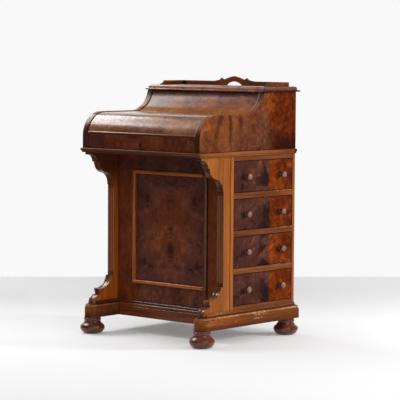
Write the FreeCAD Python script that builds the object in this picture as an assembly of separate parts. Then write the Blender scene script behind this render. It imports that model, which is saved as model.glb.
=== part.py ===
import FreeCAD, Part
import math
import os
from FreeCAD import Vector

# A davenport desk with a rolled piano lid, a pull-out writing slide and a rising stationery top.
# Millimetres. X runs to the drawer side, Y to the back, Z up. The origin is on the floor, in the middle
# of the four feet. Depths written as v are measured backwards from the front face of the upper case.

# Running and seating clearances
seat_gap = 0.3
side_play = 0.5
front_play = 0.8
pin_play = 0.05
touch = 0.0001

# Feet and plinth
foot_height = 58.0
foot_front = 32.8
foot_back_inset = 26.8
foot_side_inset = 13.9
bun_radius = 44.0
bun_height = 45.0
tread_radius = 26.0
shoulder_radius = 36.5
neck_radius = 28.4
ring_radius = 31.0
collar_radius = 29.0
plinth_height = 47.0
plinth_arm_width = 56.0
plinth_back_overhang = 13.0
plinth_face_height = 34.0
plinth_quirk = 2.0
plinth_round = 8.0
plinth_rail_board = 26.0
plinth_rail_lead = 10.0

# Pedestal
pedestal_inset = 2.1
pilaster_width = 28.0
pilaster_front = 124.2
pilaster_depth = 33.8
front_stile = 19.1
back_stile = 15.3
stile_groove = 2.0
flute_count = 3
flute_radius = 3.0
flute_edge = 6.0
flute_depth = 2.0
flute_margin = 14.0
base_moulding_height = 10.0
base_moulding_lip = 5.0
bottom_rail = 22.8
top_rail = 16.2
drawer_rail = 20.0
rail_board = 22.9
pedestal_floor_board = 12.0
runner_width = 16.0
dummy_panel_board = 16.0
dummy_front_board = 6.9
back_frame_board = 13.0
back_frame_stile = 55.0
back_frame_rail = 65.0
back_panel_board = 5.0

# Knee panel
knee_setback = 25.8
knee_board = 20.0
knee_opening_width = 350.0
knee_rail_low = 71.0
knee_rail_high = 64.0
knee_panel_recess = 8.0
knee_panel_board = 8.0
knee_moulding_width = 12.5
knee_moulding_lead = 4.0

# Scroll brackets
bracket_front = 9.0
upper_bracket_drop = 119.0
lower_bracket_toe = 25.0
lower_bracket_height = 95.0

# Drawers
drawer_count = 4
drawer_height = 110.0
drawer_front_board = 20.0
drawer_face_recess = 0.5
drawer_rear_gap = 10.4
drawer_side_height = 95.0
drawer_back_height = 80.0
drawer_side_board = 9.0
drawer_bottom_board = 6.0
drawer_bottom_lift = 6.0
drawer_box_play = 2.0
drawer_edge_round = 1.2
knob_spacing = 186.0
knob_length = 24.0
knob_radius = 12.0
knob_flange_radius = 8.5
knob_stem_radius = 5.5

# Upper case
case_width = 550.0
case_depth = 510.0
case_board = 24.0
side_lead = 2.6
case_back_board = 12.0
waist_height = 16.0
waist_lip = 6.5
waist_lip_height = 11.0
waist_under_lip = 3.0
well_height = 124.0
roll_radius = 82.0
cove_start = 243.0
cove_radius = 95.0
cove_board_thickness = 12.0
cove_top_land = 9.0
top_rise = 76.0
partition_board = 8.0

# Piano lid and its hinges
lid_board = 14.0
hinge_rail_width = 21.0
lid_bead_width = 7.0
lid_bead_lead = 2.6
hinge_spacing = 300.0
hinge_width = 50.0
hinge_knuckle = 2.6
hinge_leaf = 1.0
hinge_pin = 1.2
hinge_middle_knuckle = 19.4

# Rising top with its stationery compartment
top_board_thickness = 18.5
top_overhang = 8.5
top_front_overhang = 5.5
top_back_overhang = 12.5
top_lip_height = 5.5
top_step = 8.0
gallery_board = 8.0
gallery_height = 14.5
gallery_inset = 25.0
gallery_back_inset = 9.0
gallery_side_length = 123.0
gallery_scoop = 20.0
arch_height = 32.5
arch_half_width = 47.0
arch_shoulder = 19.5
grip_margin = 10.0
grip_height = 13.0
finial_gap = 13.0
finial_height = 26.0
ramp_run = 35.0
stationery_board = 8.0
stationery_foot = 52.0
pigeonhole_count = 5
divider_board = 6.0
letter_shelf_height = 74.0
catch_radius = 2.25
catch_knob_radius = 4.5
catch_knob_length = 9.0
catch_neck = 9.0
catch_drop = 37.5
catch_keep_depth = 12.0

# Writing slide
fascia_height = 51.0
fascia_board = 18.0
lid_gap = 0.5
tray_board = 12.0
tray_side_height = 42.0
tray_bottom_board = 8.0
tray_rear_gap = 7.0
tray_back_height = 30.0
guide_height = 8.0
guide_front = 30.0
flap_board = 12.0
flap_length = 180.0
flap_side_gap = 2.0
flap_top_drop = 8.0
flap_pivot_setback = 5.5
flap_front_gap = 2.5
flap_pin_radius = 2.5
flap_pin_grip = 8.0
flap_rest_width = 12.0
flap_rest_front = 60.0
leather_depth = 1.5
leather_proud = 0.4
leather_margin = 26.0
prop_setback = 114.0
prop_gap = 4.0
prop_length = 50.0
prop_thickness = 6.0
prop_half_width = 25.0
prop_pin_radius = 2.0
prop_lug = 6.0
prop_lug_gap = 3.0
prop_lug_length = 10.0
ratchet_thickness = 4.0
ratchet_length = 44.0
ratchet_notch = 2.0
ratchet_notches = 4

# Lock
lock_half_width = 32.0
lock_wall = 4.0
lock_foot = 4.0
lock_fit = 0.2
bolt_setback = 2.0
bolt_half_width = 12.0
bolt_thickness = 4.0
bolt_length = 20.0
bolt_mortise_depth = 10.0
bolt_mortise_play = 1.0
keyhole_height = 19.0
keyhole_radius = 3.2
keyhole_slot = 3.2
keyhole_drop = 9.0
escutcheon_rim = 2.0
escutcheon_depth = 1.2
escutcheon_proud = 0.3

# Heights worked out from the sizes above
plinth_top = foot_height + plinth_height
drawer_pitch = drawer_height + drawer_rail
drawer_stack = drawer_count * drawer_pitch - drawer_rail
first_drawer = plinth_top + bottom_rail
pedestal_top = first_drawer + drawer_stack + top_rail
case_bottom = pedestal_top + waist_height
case_flat = case_bottom + well_height
case_top = case_flat + top_rise
roll_centre = case_flat - roll_radius
fascia_bottom = case_bottom + seat_gap
fascia_top = fascia_bottom + fascia_height
lid_bottom = fascia_top + lid_gap
lid_underside = case_flat - lid_board
top_underside = case_top + seat_gap
top_face = top_underside + top_board_thickness

# Widths worked out from the sizes above
case_half = case_width / 2
case_inside = case_half - case_board
pedestal_half = case_half - pedestal_inset
pilaster_inside = pedestal_half - pilaster_width
foot_spread = pedestal_half - foot_side_inset
plinth_inside = foot_spread - plinth_arm_width / 2
slide_half = case_inside - side_play
box_half = case_inside - side_play
rail_inside = pedestal_half - rail_board
dummy_face = pedestal_half - dummy_front_board
dummy_back = dummy_face - dummy_panel_board

# Depths worked out from the sizes above
foot_back = case_depth - foot_back_inset
front_y = -(foot_front + foot_back) / 2
stile_front = pilaster_front + pilaster_depth
opening_front = stile_front + front_stile
opening_back = case_depth - back_stile
opening_middle = (opening_front + opening_back) / 2
knee_front = pilaster_front + knee_setback
knee_back = knee_front + knee_board
plinth_back = case_depth + plinth_back_overhang
cove_centre = case_flat + cove_radius
cove_top = cove_start + math.sqrt(cove_radius ** 2 - (cove_centre - case_top) ** 2)
partition_back = cove_top + cove_top_land
partition_front = partition_back - partition_board
back_inside = case_depth - case_back_board
box_front = partition_back + side_play
box_back = back_inside - side_play
hinge_line = cove_start - hinge_rail_width
rail_front = hinge_line + seat_gap
lid_rear = hinge_line - seat_gap
tray_back = partition_front - tray_rear_gap


def yz(v, z):
    return Vector(0, front_y + v, z)


def xz(x, z):
    return Vector(x, 0, z)


def outline(place, start, steps):
    """A closed face: a step of two numbers is a line, a step of four is an arc through a middle point."""
    edges = []
    here = place(*start)
    for step in steps + [start]:
        there = place(*step[-2:])
        if len(step) == 4:
            edges.append(Part.Arc(here, place(*step[:2]), there).toShape())
        else:
            edges.append(Part.makeLine(here, there))
        here = there
    return Part.Face(Part.Wire(edges))


def across(start, steps, x0, x1):
    """A side outline in v and z, carried from x0 to x1."""
    face = outline(yz, start, steps)
    face.translate(Vector(x0, 0, 0))
    return face.extrude(Vector(x1 - x0, 0, 0))


def through(start, steps, v0, v1):
    """A front outline in x and z, carried from v0 to v1."""
    face = outline(xz, start, steps)
    face.translate(Vector(0, front_y + v0, 0))
    return face.extrude(Vector(0, v1 - v0, 0))


def board(x0, x1, v0, v1, z0, z1):
    return Part.makeBox(x1 - x0, v1 - v0, z1 - z0, Vector(x0, front_y + v0, z0))


def rod(radius, x0, x1, v, z):
    return Part.makeCylinder(radius, x1 - x0, Vector(x0, front_y + v, z), Vector(1, 0, 0))


def turned(start, steps):
    """A solid turned about Z from half an outline in radius and height."""
    return outline(xz, start, steps).revolve(Vector(0, 0, 0), Vector(0, 0, 1), 360)


def moved(shape, x, v, z):
    copy = shape.copy()
    copy.translate(Vector(x, front_y + v, z))
    return copy


def mirrored(shape):
    return shape.mirror(Vector(0, 0, 0), Vector(1, 0, 0))


def both_sides(shape):
    return [shape, mirrored(shape)]


def edges_at(shape, x=None, v=None, z=None):
    """The edges that lie wholly at the given x, depth or height."""
    found = []
    for edge in shape.Edges:
        box = edge.BoundBox
        spans = [(x, box.XMin, box.XMax), (z, box.ZMin, box.ZMax)]
        if v is not None:
            spans.append((front_y + v, box.YMin, box.YMax))
        if all(want is None or max(abs(low - want), abs(high - want)) < touch for want, low, high in spans):
            found.append(edge)
    return found


def write(name, *solids):
    shape = solids[0] if len(solids) == 1 else Part.makeCompound(list(solids))
    shape.exportStep("parts/" + name + ".step")
    print(name, len(shape.Solids), "solids", round(shape.Volume / 1000), "cm3")


os.makedirs("parts", exist_ok=True)


# Feet and plinth
def bun_foot():
    """Bowl, shoulder, hollow neck and ring, turned from the floor up to the plinth."""
    bulge = bun_height * 0.44
    shoulder = bun_height * 0.75
    neck_rise = foot_height - bun_height
    ring_low = bun_height + neck_rise * 0.15
    ring_high = bun_height + neck_rise * 0.75
    return turned((0, 0), [
        (tread_radius, 0),
        (tread_radius + (bun_radius - tread_radius) * 0.68, bulge * 0.42, bun_radius, bulge),
        (bun_radius * 0.965, bulge + (shoulder - bulge) * 0.55, shoulder_radius, shoulder),
        (neck_radius + (shoulder_radius - neck_radius) * 0.32, (shoulder + bun_height) / 2,
         neck_radius, bun_height),
        (collar_radius, ring_low),
        (ring_radius, (ring_low + ring_high) / 2, collar_radius, ring_high),
        (collar_radius, foot_height),
        (0, foot_height)])


def plinth_plan(inset, z0, z1):
    """An arm of the plinth, seen from above: round at the front foot, square at the back."""
    radius = plinth_arm_width / 2 - inset
    arm = board(foot_spread - radius, foot_spread + radius, foot_front, plinth_back - inset, z0, z1)
    nose = Part.makeCylinder(radius, z1 - z0, Vector(foot_spread, front_y + foot_front, z0))
    return arm.fuse(nose).removeSplitter()


def plinth_arm():
    face_top = foot_height + plinth_face_height
    moulding = plinth_plan(plinth_quirk, face_top, plinth_top)
    moulding = moulding.makeFillet(plinth_round, edges_at(moulding, z=plinth_top))
    return plinth_plan(0, foot_height, face_top).fuse(moulding)


def plinth_rail(v0, v1, face):
    """A rail between the arms, with the same moulding on the edge that shows."""
    face_top = foot_height + plinth_face_height
    moulded = plinth_inside + plinth_quirk
    step = plinth_quirk if face == v0 else -plinth_quirk
    low, high = sorted((face + step, v1 if face == v0 else v0))
    moulding = board(-moulded, moulded, low, high, face_top, plinth_top)
    moulding = moulding.makeFillet(plinth_round, edges_at(moulding, v=face + step, z=plinth_top))
    return board(-plinth_inside, plinth_inside, v0, v1, foot_height, face_top).fuse(moulding)


def base_strip(length):
    """The moulding that stands on the plinth, as a strip along +Y with its back on x = 0."""
    half = base_moulding_lip / 2
    face = outline(xz, (0, 0), [
        (base_moulding_lip, 0),
        (base_moulding_lip, base_moulding_height * 0.4),
        (base_moulding_lip - half * 0.3, base_moulding_height * 0.62, half, base_moulding_height * 0.7),
        (half, base_moulding_height),
        (0, base_moulding_height)])
    return face.extrude(Vector(0, length, 0))


def base_mouldings():
    """Strips outside, at the back, inside the arms and under the knee panel, coped at the inner corners."""
    start = lower_bracket_toe + lower_bracket_height * 0.12
    side = moved(base_strip(case_depth - start), pedestal_half, start, plinth_top)
    back = base_strip(2 * pedestal_half)
    back.rotate(Vector(0, 0, 0), Vector(0, 0, 1), 90)
    inner = base_strip(knee_front - start)
    inner.rotate(Vector(0, 0, 0), Vector(0, 0, 1), 180)
    inner = both_sides(moved(inner, pilaster_inside, knee_front, plinth_top))
    knee = base_strip(2 * pilaster_inside)
    knee.rotate(Vector(0, 0, 0), Vector(0, 0, 1), -90)
    knee = moved(knee, -pilaster_inside, knee_front, plinth_top)
    for strip in inner:
        knee = knee.cut(strip)
    return both_sides(side) + [moved(back, pedestal_half, case_depth, plinth_top)] + inner + [knee]


foot = bun_foot()
feet = []
for x in (-foot_spread, foot_spread):
    for v in (foot_front, foot_back):
        feet.append(moved(foot, x, v, 0))
write("bun_feet", *feet)
write("plinth_arms", *both_sides(plinth_arm()))
rail_v = knee_front - plinth_rail_lead
front_plinth_rail = plinth_rail(rail_v, rail_v + plinth_rail_board, rail_v)
back_plinth_rail = plinth_rail(plinth_back - plinth_rail_board, plinth_back, plinth_back)
write("plinth_rails", front_plinth_rail, back_plinth_rail)
write("base_moulding", *base_mouldings())


# Pedestal carcass
def pedestal_stiles():
    front = board(pilaster_inside, pedestal_half, stile_front, opening_front, plinth_top, pedestal_top)
    groove = board(pedestal_half - stile_groove, pedestal_half, stile_front, stile_front + stile_groove,
                   plinth_top, pedestal_top)
    back = board(pilaster_inside, pedestal_half, opening_back, case_depth, plinth_top, pedestal_top)
    return both_sides(front.cut(groove)) + both_sides(back)


def rail_levels():
    """The bottom and top of each rail beside the drawers, from the lowest up."""
    levels = [(plinth_top, first_drawer)]
    for i in range(1, drawer_count):
        top = first_drawer + i * drawer_pitch
        levels.append((top - drawer_rail, top))
    levels.append((pedestal_top - top_rail, pedestal_top))
    return levels


def drawer_rails():
    rails = []
    for low, high in rail_levels():
        rails.append(board(rail_inside, pedestal_half, opening_front, opening_back, low, high))
        rails.append(board(-pedestal_half, -dummy_face, opening_front, opening_back, low, high))
    return rails


def drawer_runners():
    runners = []
    for i in range(drawer_count):
        top = first_drawer + i * drawer_pitch
        low = top - drawer_rail if i else plinth_top + pedestal_floor_board
        for v in (opening_front, opening_back - runner_width):
            runners.append(board(-dummy_back, rail_inside, v, v + runner_width, low, top))
    return runners


def framed_back():
    inside = pilaster_inside - back_frame_stile
    low = plinth_top + back_frame_rail
    high = pedestal_top - back_frame_rail
    v = case_depth - back_frame_board
    panel_v = v + (back_frame_board - back_panel_board) / 2
    stile = board(inside, pilaster_inside, v, case_depth, plinth_top, pedestal_top)
    bottom = board(-inside, inside, v, case_depth, plinth_top, low)
    top = board(-inside, inside, v, case_depth, high, pedestal_top)
    panel = board(-inside, inside, panel_v, panel_v + back_panel_board, low, high)
    return both_sides(stile) + [bottom, top, panel]


write("pedestal_stiles", *pedestal_stiles())
write("pedestal_floor", board(-pilaster_inside, pilaster_inside, knee_back, case_depth - back_frame_board,
                              plinth_top, plinth_top + pedestal_floor_board))
write("drawer_rails", *drawer_rails())
write("drawer_runners", *drawer_runners())
write("dummy_side_panel", board(-dummy_face, -dummy_back, opening_front, opening_back,
                                plinth_top, pedestal_top))
write("pedestal_back", *framed_back())


# Knee panel between the pilasters
knee_half = knee_opening_width / 2
knee_low = plinth_top + knee_rail_low
knee_high = pedestal_top - knee_rail_high
knee_panel_front = knee_front + knee_panel_recess


def knee_frame():
    stile = board(knee_half, pilaster_inside, knee_front, knee_back, plinth_top, pedestal_top)
    bottom = board(-knee_half, knee_half, knee_front, knee_back, plinth_top, knee_low)
    top = board(-knee_half, knee_half, knee_front, knee_back, knee_high, pedestal_top)
    return both_sides(stile) + [bottom, top]


def knee_moulding():
    """A mitred frame in the opening, rounded towards the panel and proud of the frame around it."""
    face = knee_front - knee_moulding_lead
    inner = knee_half - knee_moulding_width
    frame = board(-knee_half, knee_half, face, knee_panel_front, knee_low, knee_high)
    frame = frame.cut(board(-inner, inner, face, knee_panel_front,
                            knee_low + knee_moulding_width, knee_high - knee_moulding_width))
    return frame.makeFillet(min(knee_moulding_width, knee_moulding_lead + knee_panel_recess) * 0.38,
                            edges_at(frame, v=face))


write("knee_frame", *knee_frame())
write("knee_panel", board(-knee_half, knee_half, knee_panel_front, knee_panel_front + knee_panel_board,
                          knee_low, knee_high))
write("knee_moulding", knee_moulding())


# Fluted pilasters and their scroll brackets
def pilaster():
    body = board(pilaster_inside, pedestal_half, pilaster_front, stile_front, plinth_top, pedestal_top)
    low = plinth_top + lower_bracket_height + flute_margin
    high = pedestal_top - upper_bracket_drop - flute_margin
    centre_y = front_y + pilaster_front + flute_depth - flute_radius
    flute_pitch = (pilaster_width - 2 * flute_edge) / (flute_count - 1)
    for i in range(flute_count):
        x = pilaster_inside + flute_edge + i * flute_pitch
        body = body.cut(Part.makeCylinder(flute_radius, high - low, Vector(x, centre_y, low)))
        for z in (low, high):
            body = body.cut(Part.makeSphere(flute_radius, Vector(x, centre_y, z)))
    return body


def upper_bracket():
    """Cap, cove, fillet, belly, cove and fillet, from under the case back to the pilaster."""
    reach = pilaster_front - bracket_front

    def at(u, w):
        return (bracket_front + u * reach, pedestal_top - w * upper_bracket_drop)

    return across(at(0, 0), [
        at(0, 0.076),
        at(0.087, 0.084),
        at(0.234, 0.145) + at(0.295, 0.29),
        at(0.365, 0.311),
        at(0.373, 0.336),
        at(0.456, 0.513) + at(0.66, 0.63),
        at(0.885, 0.748) + at(0.964, 0.924),
        at(0.964, 1),
        at(1, 1),
        at(1, 0)], pilaster_inside, pedestal_half)


def lower_bracket():
    """Toe, lip and cove, from the nose of the plinth up to the pilaster."""
    reach = pilaster_front - lower_bracket_toe

    def at(u, w):
        return (lower_bracket_toe + u * reach, plinth_top + w * lower_bracket_height)

    return across(at(0, 0), [
        at(0.075, 0.215) + at(0.333, 0.336),
        at(0.333, 0.42),
        at(0.302, 0.43),
        at(0.302, 0.553),
        at(0.373, 0.553),
        at(0.72, 0.68) + at(0.895, 0.968),
        at(0.895, 1),
        at(1, 1),
        at(1, 0)], pilaster_inside, pedestal_half)


write("pilasters", *both_sides(pilaster()))
write("upper_brackets", *both_sides(upper_bracket()))
write("lower_brackets", *both_sides(lower_bracket()))


# Turned knobs
def knob():
    """A turned knob standing on z = 0, along +Z."""
    neck = knob_length * 0.36
    widest = knob_length * 0.62
    rise = knob_length - widest
    dome = (knob_radius ** 2 + rise ** 2) / (2 * rise)
    turn = math.asin(knob_radius / dome) / 2
    return turned((0, 0), [
        (knob_flange_radius, 0),
        (knob_flange_radius, knob_length * 0.08),
        (knob_stem_radius, knob_length * 0.2, knob_stem_radius, neck),
        (knob_radius * 0.8, (neck + widest) / 2 - knob_length * 0.03, knob_radius, widest),
        (dome * math.sin(turn), knob_length - dome * (1 - math.cos(turn)), 0, knob_length)])


def knob_pair(face, level):
    """Two knobs on a drawer face that looks along +X."""
    upright = knob()
    upright.rotate(Vector(0, 0, 0), Vector(0, 1, 0), 90)
    return [moved(upright, face, opening_middle + side * knob_spacing / 2, level) for side in (-1, 1)]


# Four drawers, with four dummy fronts on the other side
drawer_face = pedestal_half - drawer_face_recess
drawer_front_back = drawer_face - drawer_front_board
drawer_rear = -dummy_back + drawer_rear_gap


def drawer_face_board(x0, x1, level):
    face = board(x0, x1, opening_front + front_play, opening_back - front_play,
                 level + front_play, level + drawer_height - front_play)
    return face.makeFillet(drawer_edge_round, edges_at(face, x=x1))


def drawer_box(level):
    low = level + seat_gap
    v0 = opening_front + drawer_box_play
    v1 = opening_back - drawer_box_play
    bottom = low + drawer_bottom_lift
    inner0 = v0 + drawer_side_board
    inner1 = v1 - drawer_side_board
    back_x = drawer_rear + drawer_side_board
    return [
        board(drawer_rear, drawer_front_back, v0, inner0, low, low + drawer_side_height),
        board(drawer_rear, drawer_front_back, inner1, v1, low, low + drawer_side_height),
        board(back_x, drawer_front_back, inner0, inner1, bottom, bottom + drawer_bottom_board),
        board(drawer_rear, back_x, inner0, inner1, bottom, low + drawer_back_height)]


dummy_fronts = []
dummy_knobs = []
for i in range(drawer_count):
    name = "drawer_" + str(drawer_count - i)
    level = first_drawer + i * drawer_pitch
    middle = level + drawer_height / 2
    knobs = knob_pair(drawer_face, middle)
    write(name + "_front", drawer_face_board(drawer_front_back, drawer_face, level))
    write(name + "_box", *drawer_box(level))
    write(name + "_knobs", *knobs)
    dummy_fronts.append(mirrored(drawer_face_board(dummy_face, drawer_face, level)))
    dummy_knobs.extend(mirrored(k) for k in knobs)
write("dummy_drawer_fronts", *dummy_fronts)
write("dummy_drawer_knobs", *dummy_knobs)


# Upper case
def waist_band(lip, z0, z1):
    band = board(-case_half - lip, case_half + lip, -lip, case_depth, z0, z1)
    return band.cut(board(-case_half, case_half, 0, case_depth, z0, z1))


def waist_moulding():
    """A lip round the front and sides of the case floor, over a thinner band."""
    lip_low = case_bottom - waist_lip_height
    lip = waist_band(waist_lip, lip_low, case_bottom)
    nose = []
    for z in (lip_low, case_bottom):
        nose += edges_at(lip, v=-waist_lip, z=z)
        for x in (-case_half - waist_lip, case_half + waist_lip):
            nose += edges_at(lip, x=x, z=z)
    lip = lip.makeFillet(min(waist_lip, waist_lip_height / 2) * 0.6, nose)
    return lip.fuse(waist_band(waist_under_lip, pedestal_top, lip_low))


def case_side():
    """The shaped side: a rolled front, a flat, a cove and the upright, a little proud of the lid between."""
    radius = roll_radius + side_lead
    diagonal = radius * math.sqrt(0.5)
    hollow = cove_radius - side_lead
    land = cove_start + math.sqrt(hollow ** 2 - (cove_centre - case_top) ** 2)
    turn = math.atan2(case_top - cove_centre, land - cove_start) / 2 - math.pi / 4
    return across((-side_lead, case_bottom), [
        (-side_lead, roll_centre),
        (roll_radius - diagonal, roll_centre + diagonal, roll_radius, case_flat + side_lead),
        (cove_start, case_flat + side_lead),
        (cove_start + hollow * math.cos(turn), cove_centre + hollow * math.sin(turn), land, case_top),
        (case_depth, case_top),
        (case_depth, case_bottom)], case_inside, case_half)


def cove_board():
    """The curved board that closes the well below the rising top."""
    outer = cove_radius
    inner = cove_radius + cove_board_thickness
    bed = cove_centre - math.sqrt(inner ** 2 - (partition_back - cove_start) ** 2)
    outer_turn = math.atan2(case_top - cove_centre, cove_top - cove_start) / 2 - math.pi / 4
    inner_turn = math.atan2(bed - cove_centre, partition_back - cove_start) / 2 - math.pi / 4
    return across((cove_start, cove_centre - outer), [
        (cove_start + outer * math.cos(outer_turn), cove_centre + outer * math.sin(outer_turn),
         cove_top, case_top),
        (partition_back, case_top),
        (partition_back, bed),
        (cove_start + inner * math.cos(inner_turn), cove_centre + inner * math.sin(inner_turn),
         cove_start, cove_centre - inner)], -case_inside, case_inside)


catch_x = box_half - stationery_board / 2
catch_z = lid_underside - catch_drop


def partition():
    wall = board(-case_inside, case_inside, partition_front, partition_back, case_bottom, case_top)
    clear = cove_radius + cove_board_thickness + seat_gap
    wall = wall.cut(rod(clear, -case_inside, case_inside, cove_start, cove_centre))
    bore = Part.makeCylinder(catch_radius + pin_play, partition_board,
                             Vector(catch_x, front_y + partition_front, catch_z), Vector(0, 1, 0))
    return wall.cut(bore)


write("case_floor", board(-case_half, case_half, 0, case_depth, pedestal_top, case_bottom))
write("waist_moulding", waist_moulding())
write("case_side_right", case_side())
write("case_side_left", mirrored(case_side()))
write("case_back", board(-case_inside, case_inside, back_inside, case_depth, case_bottom, case_top))
write("cove_board", cove_board())
write("partition", partition())
guide_low = fascia_bottom + tray_side_height + seat_gap
guide = board(slide_half - tray_board, case_inside, guide_front, partition_front,
              guide_low, guide_low + guide_height)
write("slide_guides", *both_sides(guide))


# Piano lid, its bead and its two butt hinges
def roll_v(radius, z):
    """Depth of the roll of that radius at height z."""
    return roll_radius - math.sqrt(radius ** 2 - (z - roll_centre) ** 2)


def roll_middle(radius, z):
    """The point halfway along the roll from height z to its top."""
    turn = (math.asin((z - roll_centre) / radius) + math.pi / 2) / 2
    return (roll_radius - radius * math.cos(turn), roll_centre + radius * math.sin(turn))


def lid_shell():
    inner = roll_radius - lid_board
    return across((roll_v(roll_radius, lid_bottom), lid_bottom), [
        roll_middle(roll_radius, lid_bottom) + (roll_radius, case_flat),
        (lid_rear, case_flat),
        (lid_rear, lid_underside),
        (roll_radius, lid_underside),
        roll_middle(inner, lid_bottom) + (roll_v(inner, lid_bottom), lid_bottom)], -slide_half, slide_half)


hinge_places = (-hinge_spacing / 2, hinge_spacing / 2)
knuckle_clear = hinge_knuckle + seat_gap


def knuckle(x0, x1, radius):
    return rod(radius, x0, x1, hinge_line, case_flat)


def hinge_recess(x, v0, v1):
    """The bed of a leaf and of the knuckles, cut out of the board that carries them."""
    half = hinge_width / 2
    bed = board(x - half, x + half, v0, v1, lid_underside, case_flat)
    return bed.fuse(knuckle(x - half, x + half, knuckle_clear))


def fixed_leaf(x):
    half = hinge_width / 2
    middle = hinge_middle_knuckle / 2 + seat_gap
    leaf = board(x - half, x + half, rail_front, rail_front + hinge_leaf, lid_underside, case_flat)
    leaf = leaf.cut(knuckle(x - middle, x + middle, knuckle_clear))
    for x0, x1 in ((x - half, x - middle), (x + middle, x + half)):
        leaf = leaf.fuse(knuckle(x0, x1, hinge_knuckle)).cut(knuckle(x0, x1, hinge_pin + pin_play))
    return leaf.removeSplitter()


def moving_leaf(x):
    half = hinge_width / 2
    middle = hinge_middle_knuckle / 2
    leaf = board(x - half, x + half, lid_rear - hinge_leaf, lid_rear, lid_underside, case_flat)
    for x0, x1 in ((x - half, x - middle), (x + middle, x + half)):
        leaf = leaf.cut(knuckle(x0, x1, knuckle_clear))
    leaf = leaf.fuse(knuckle(x - middle, x + middle, hinge_knuckle))
    return leaf.fuse(knuckle(x - half, x + half, hinge_pin)).removeSplitter()


def hinge_rail():
    rail = board(-case_inside, case_inside, rail_front, cove_start, lid_underside, case_flat)
    for x in hinge_places:
        rail = rail.cut(hinge_recess(x, rail_front, rail_front + hinge_leaf))
    return rail


bolt_front = lock_wall + bolt_setback
bolt_back = bolt_front + bolt_thickness


def piano_lid():
    lid = lid_shell()
    for x in hinge_places:
        lid = lid.cut(hinge_recess(x, lid_rear - hinge_leaf, lid_rear))
    half = bolt_half_width + bolt_mortise_play
    return lid.cut(board(-half, half, bolt_front - bolt_mortise_play, bolt_back + bolt_mortise_play,
                         lid_bottom, lid_bottom + bolt_mortise_depth))


def lid_bead():
    low = lid_bottom + lid_gap
    high = low + lid_bead_width
    middle = (low + high) / 2
    lead = roll_v(roll_radius, middle) - lid_bead_lead
    bead = across((roll_v(roll_radius, low), low), [
        (lead, middle, roll_v(roll_radius, high), high)], -slide_half, slide_half)
    return bead.cut(rod(roll_radius, -slide_half, slide_half, roll_radius, roll_centre))


write("hinge_rail", hinge_rail())
write("lid_hinge_fixed_leaves", *[fixed_leaf(x) for x in hinge_places])
write("piano_lid", piano_lid())
write("lid_bead", lid_bead())
write("lid_hinge_moving_leaves", *[moving_leaf(x) for x in hinge_places])


# Rising top: moulded board, pierced gallery and stationery compartment
def top_slab(inset, z0, z1):
    half = case_half + top_overhang - inset
    return board(-half, half, cove_top - top_front_overhang + inset, case_depth + top_back_overhang - inset,
                 z0, z1)


def top_board():
    """A thin lip with a stepped, rounded board on it."""
    lip_top = top_underside + top_lip_height
    lip = top_slab(0, top_underside, lip_top)
    lip = lip.makeFillet(top_lip_height * 0.45, edges_at(lip, z=lip_top))
    upper = top_slab(top_step, lip_top, top_face)
    upper = upper.makeFillet((top_board_thickness - top_lip_height) * 0.6, edges_at(upper, z=top_face))
    return lip.fuse(upper)


gallery_half = case_half - gallery_inset
gallery_back_face = case_depth - gallery_back_inset
gallery_front_face = gallery_back_face - gallery_board
grip_half_width = arch_half_width - grip_margin
finial_place = arch_half_width + finial_gap
ramp_place = finial_place + ramp_run


def gallery_back():
    """A low rail that rises to two finials and a pierced arch in the middle."""
    low = top_face
    rail = top_face + gallery_height
    shoulder = top_face + arch_shoulder
    finial = top_face + finial_height
    arch = top_face + arch_height
    half = arch_half_width
    crown = shoulder + (arch - shoulder) * 0.62
    ramp_middle = (finial_place + ramp_place) / 2
    ramp_dip = rail + (finial - rail) * 0.22
    tip = (finial_place - half) / 2
    back = through((-gallery_half, low), [
        (-gallery_half, rail),
        (-ramp_place, rail),
        (-ramp_middle, ramp_dip, -finial_place - tip, finial - tip),
        (-finial_place, finial),
        (-half, shoulder),
        (-half * 0.5, crown, 0, arch),
        (half * 0.5, crown, half, shoulder),
        (finial_place, finial),
        (finial_place + tip, finial - tip),
        (ramp_middle, ramp_dip, ramp_place, rail),
        (gallery_half, rail),
        (gallery_half, low)], gallery_front_face, gallery_back_face)
    grip = through((-grip_half_width, low), [
        (0, low + grip_height, grip_half_width, low)], gallery_front_face, gallery_back_face)
    return back.cut(grip)


def gallery_side():
    """A side rail with a scooped front end."""
    low = top_face
    rail = top_face + gallery_height
    front = gallery_front_face - gallery_side_length
    return across((front, low), [
        (front, low + gallery_height * 0.2),
        (front + gallery_scoop * 0.62, low + gallery_height * 0.4, front + gallery_scoop, rail),
        (gallery_front_face, rail),
        (gallery_front_face, low)], gallery_half - gallery_board, gallery_half)


box_bottom = case_bottom + seat_gap
box_inside = box_half - stationery_board
box_back_face = box_back - stationery_board
shelf_top = box_bottom + stationery_foot


def stationery_case():
    side = board(box_inside, box_half, box_front, box_back, box_bottom, top_underside)
    keep = Part.makeCylinder(catch_radius + seat_gap, catch_keep_depth,
                             Vector(catch_x, front_y + box_front, catch_z), Vector(0, 1, 0))
    back = board(-box_inside, box_inside, box_back_face, box_back, box_bottom, top_underside)
    floor = board(-box_inside, box_inside, box_front, box_back_face,
                  box_bottom, box_bottom + stationery_board)
    return [side.cut(keep), mirrored(side), back, floor]


def stationery_dividers():
    """One long shelf, upright dividers on it and a letter shelf in the middle pigeonhole."""
    bay = (2 * box_inside - (pigeonhole_count - 1) * divider_board) / pigeonhole_count
    boards = [board(-box_inside, box_inside, box_front, box_back_face, shelf_top - divider_board, shelf_top)]
    for i in range(1, pigeonhole_count):
        x = -box_inside + i * (bay + divider_board) - divider_board
        boards.append(board(x, x + divider_board, box_front, box_back_face, shelf_top, top_underside))
    middle = -box_inside + (pigeonhole_count // 2) * (bay + divider_board)
    letter = shelf_top + letter_shelf_height
    boards.append(board(middle, middle + bay, box_front, box_back_face, letter, letter + divider_board))
    return boards


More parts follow.
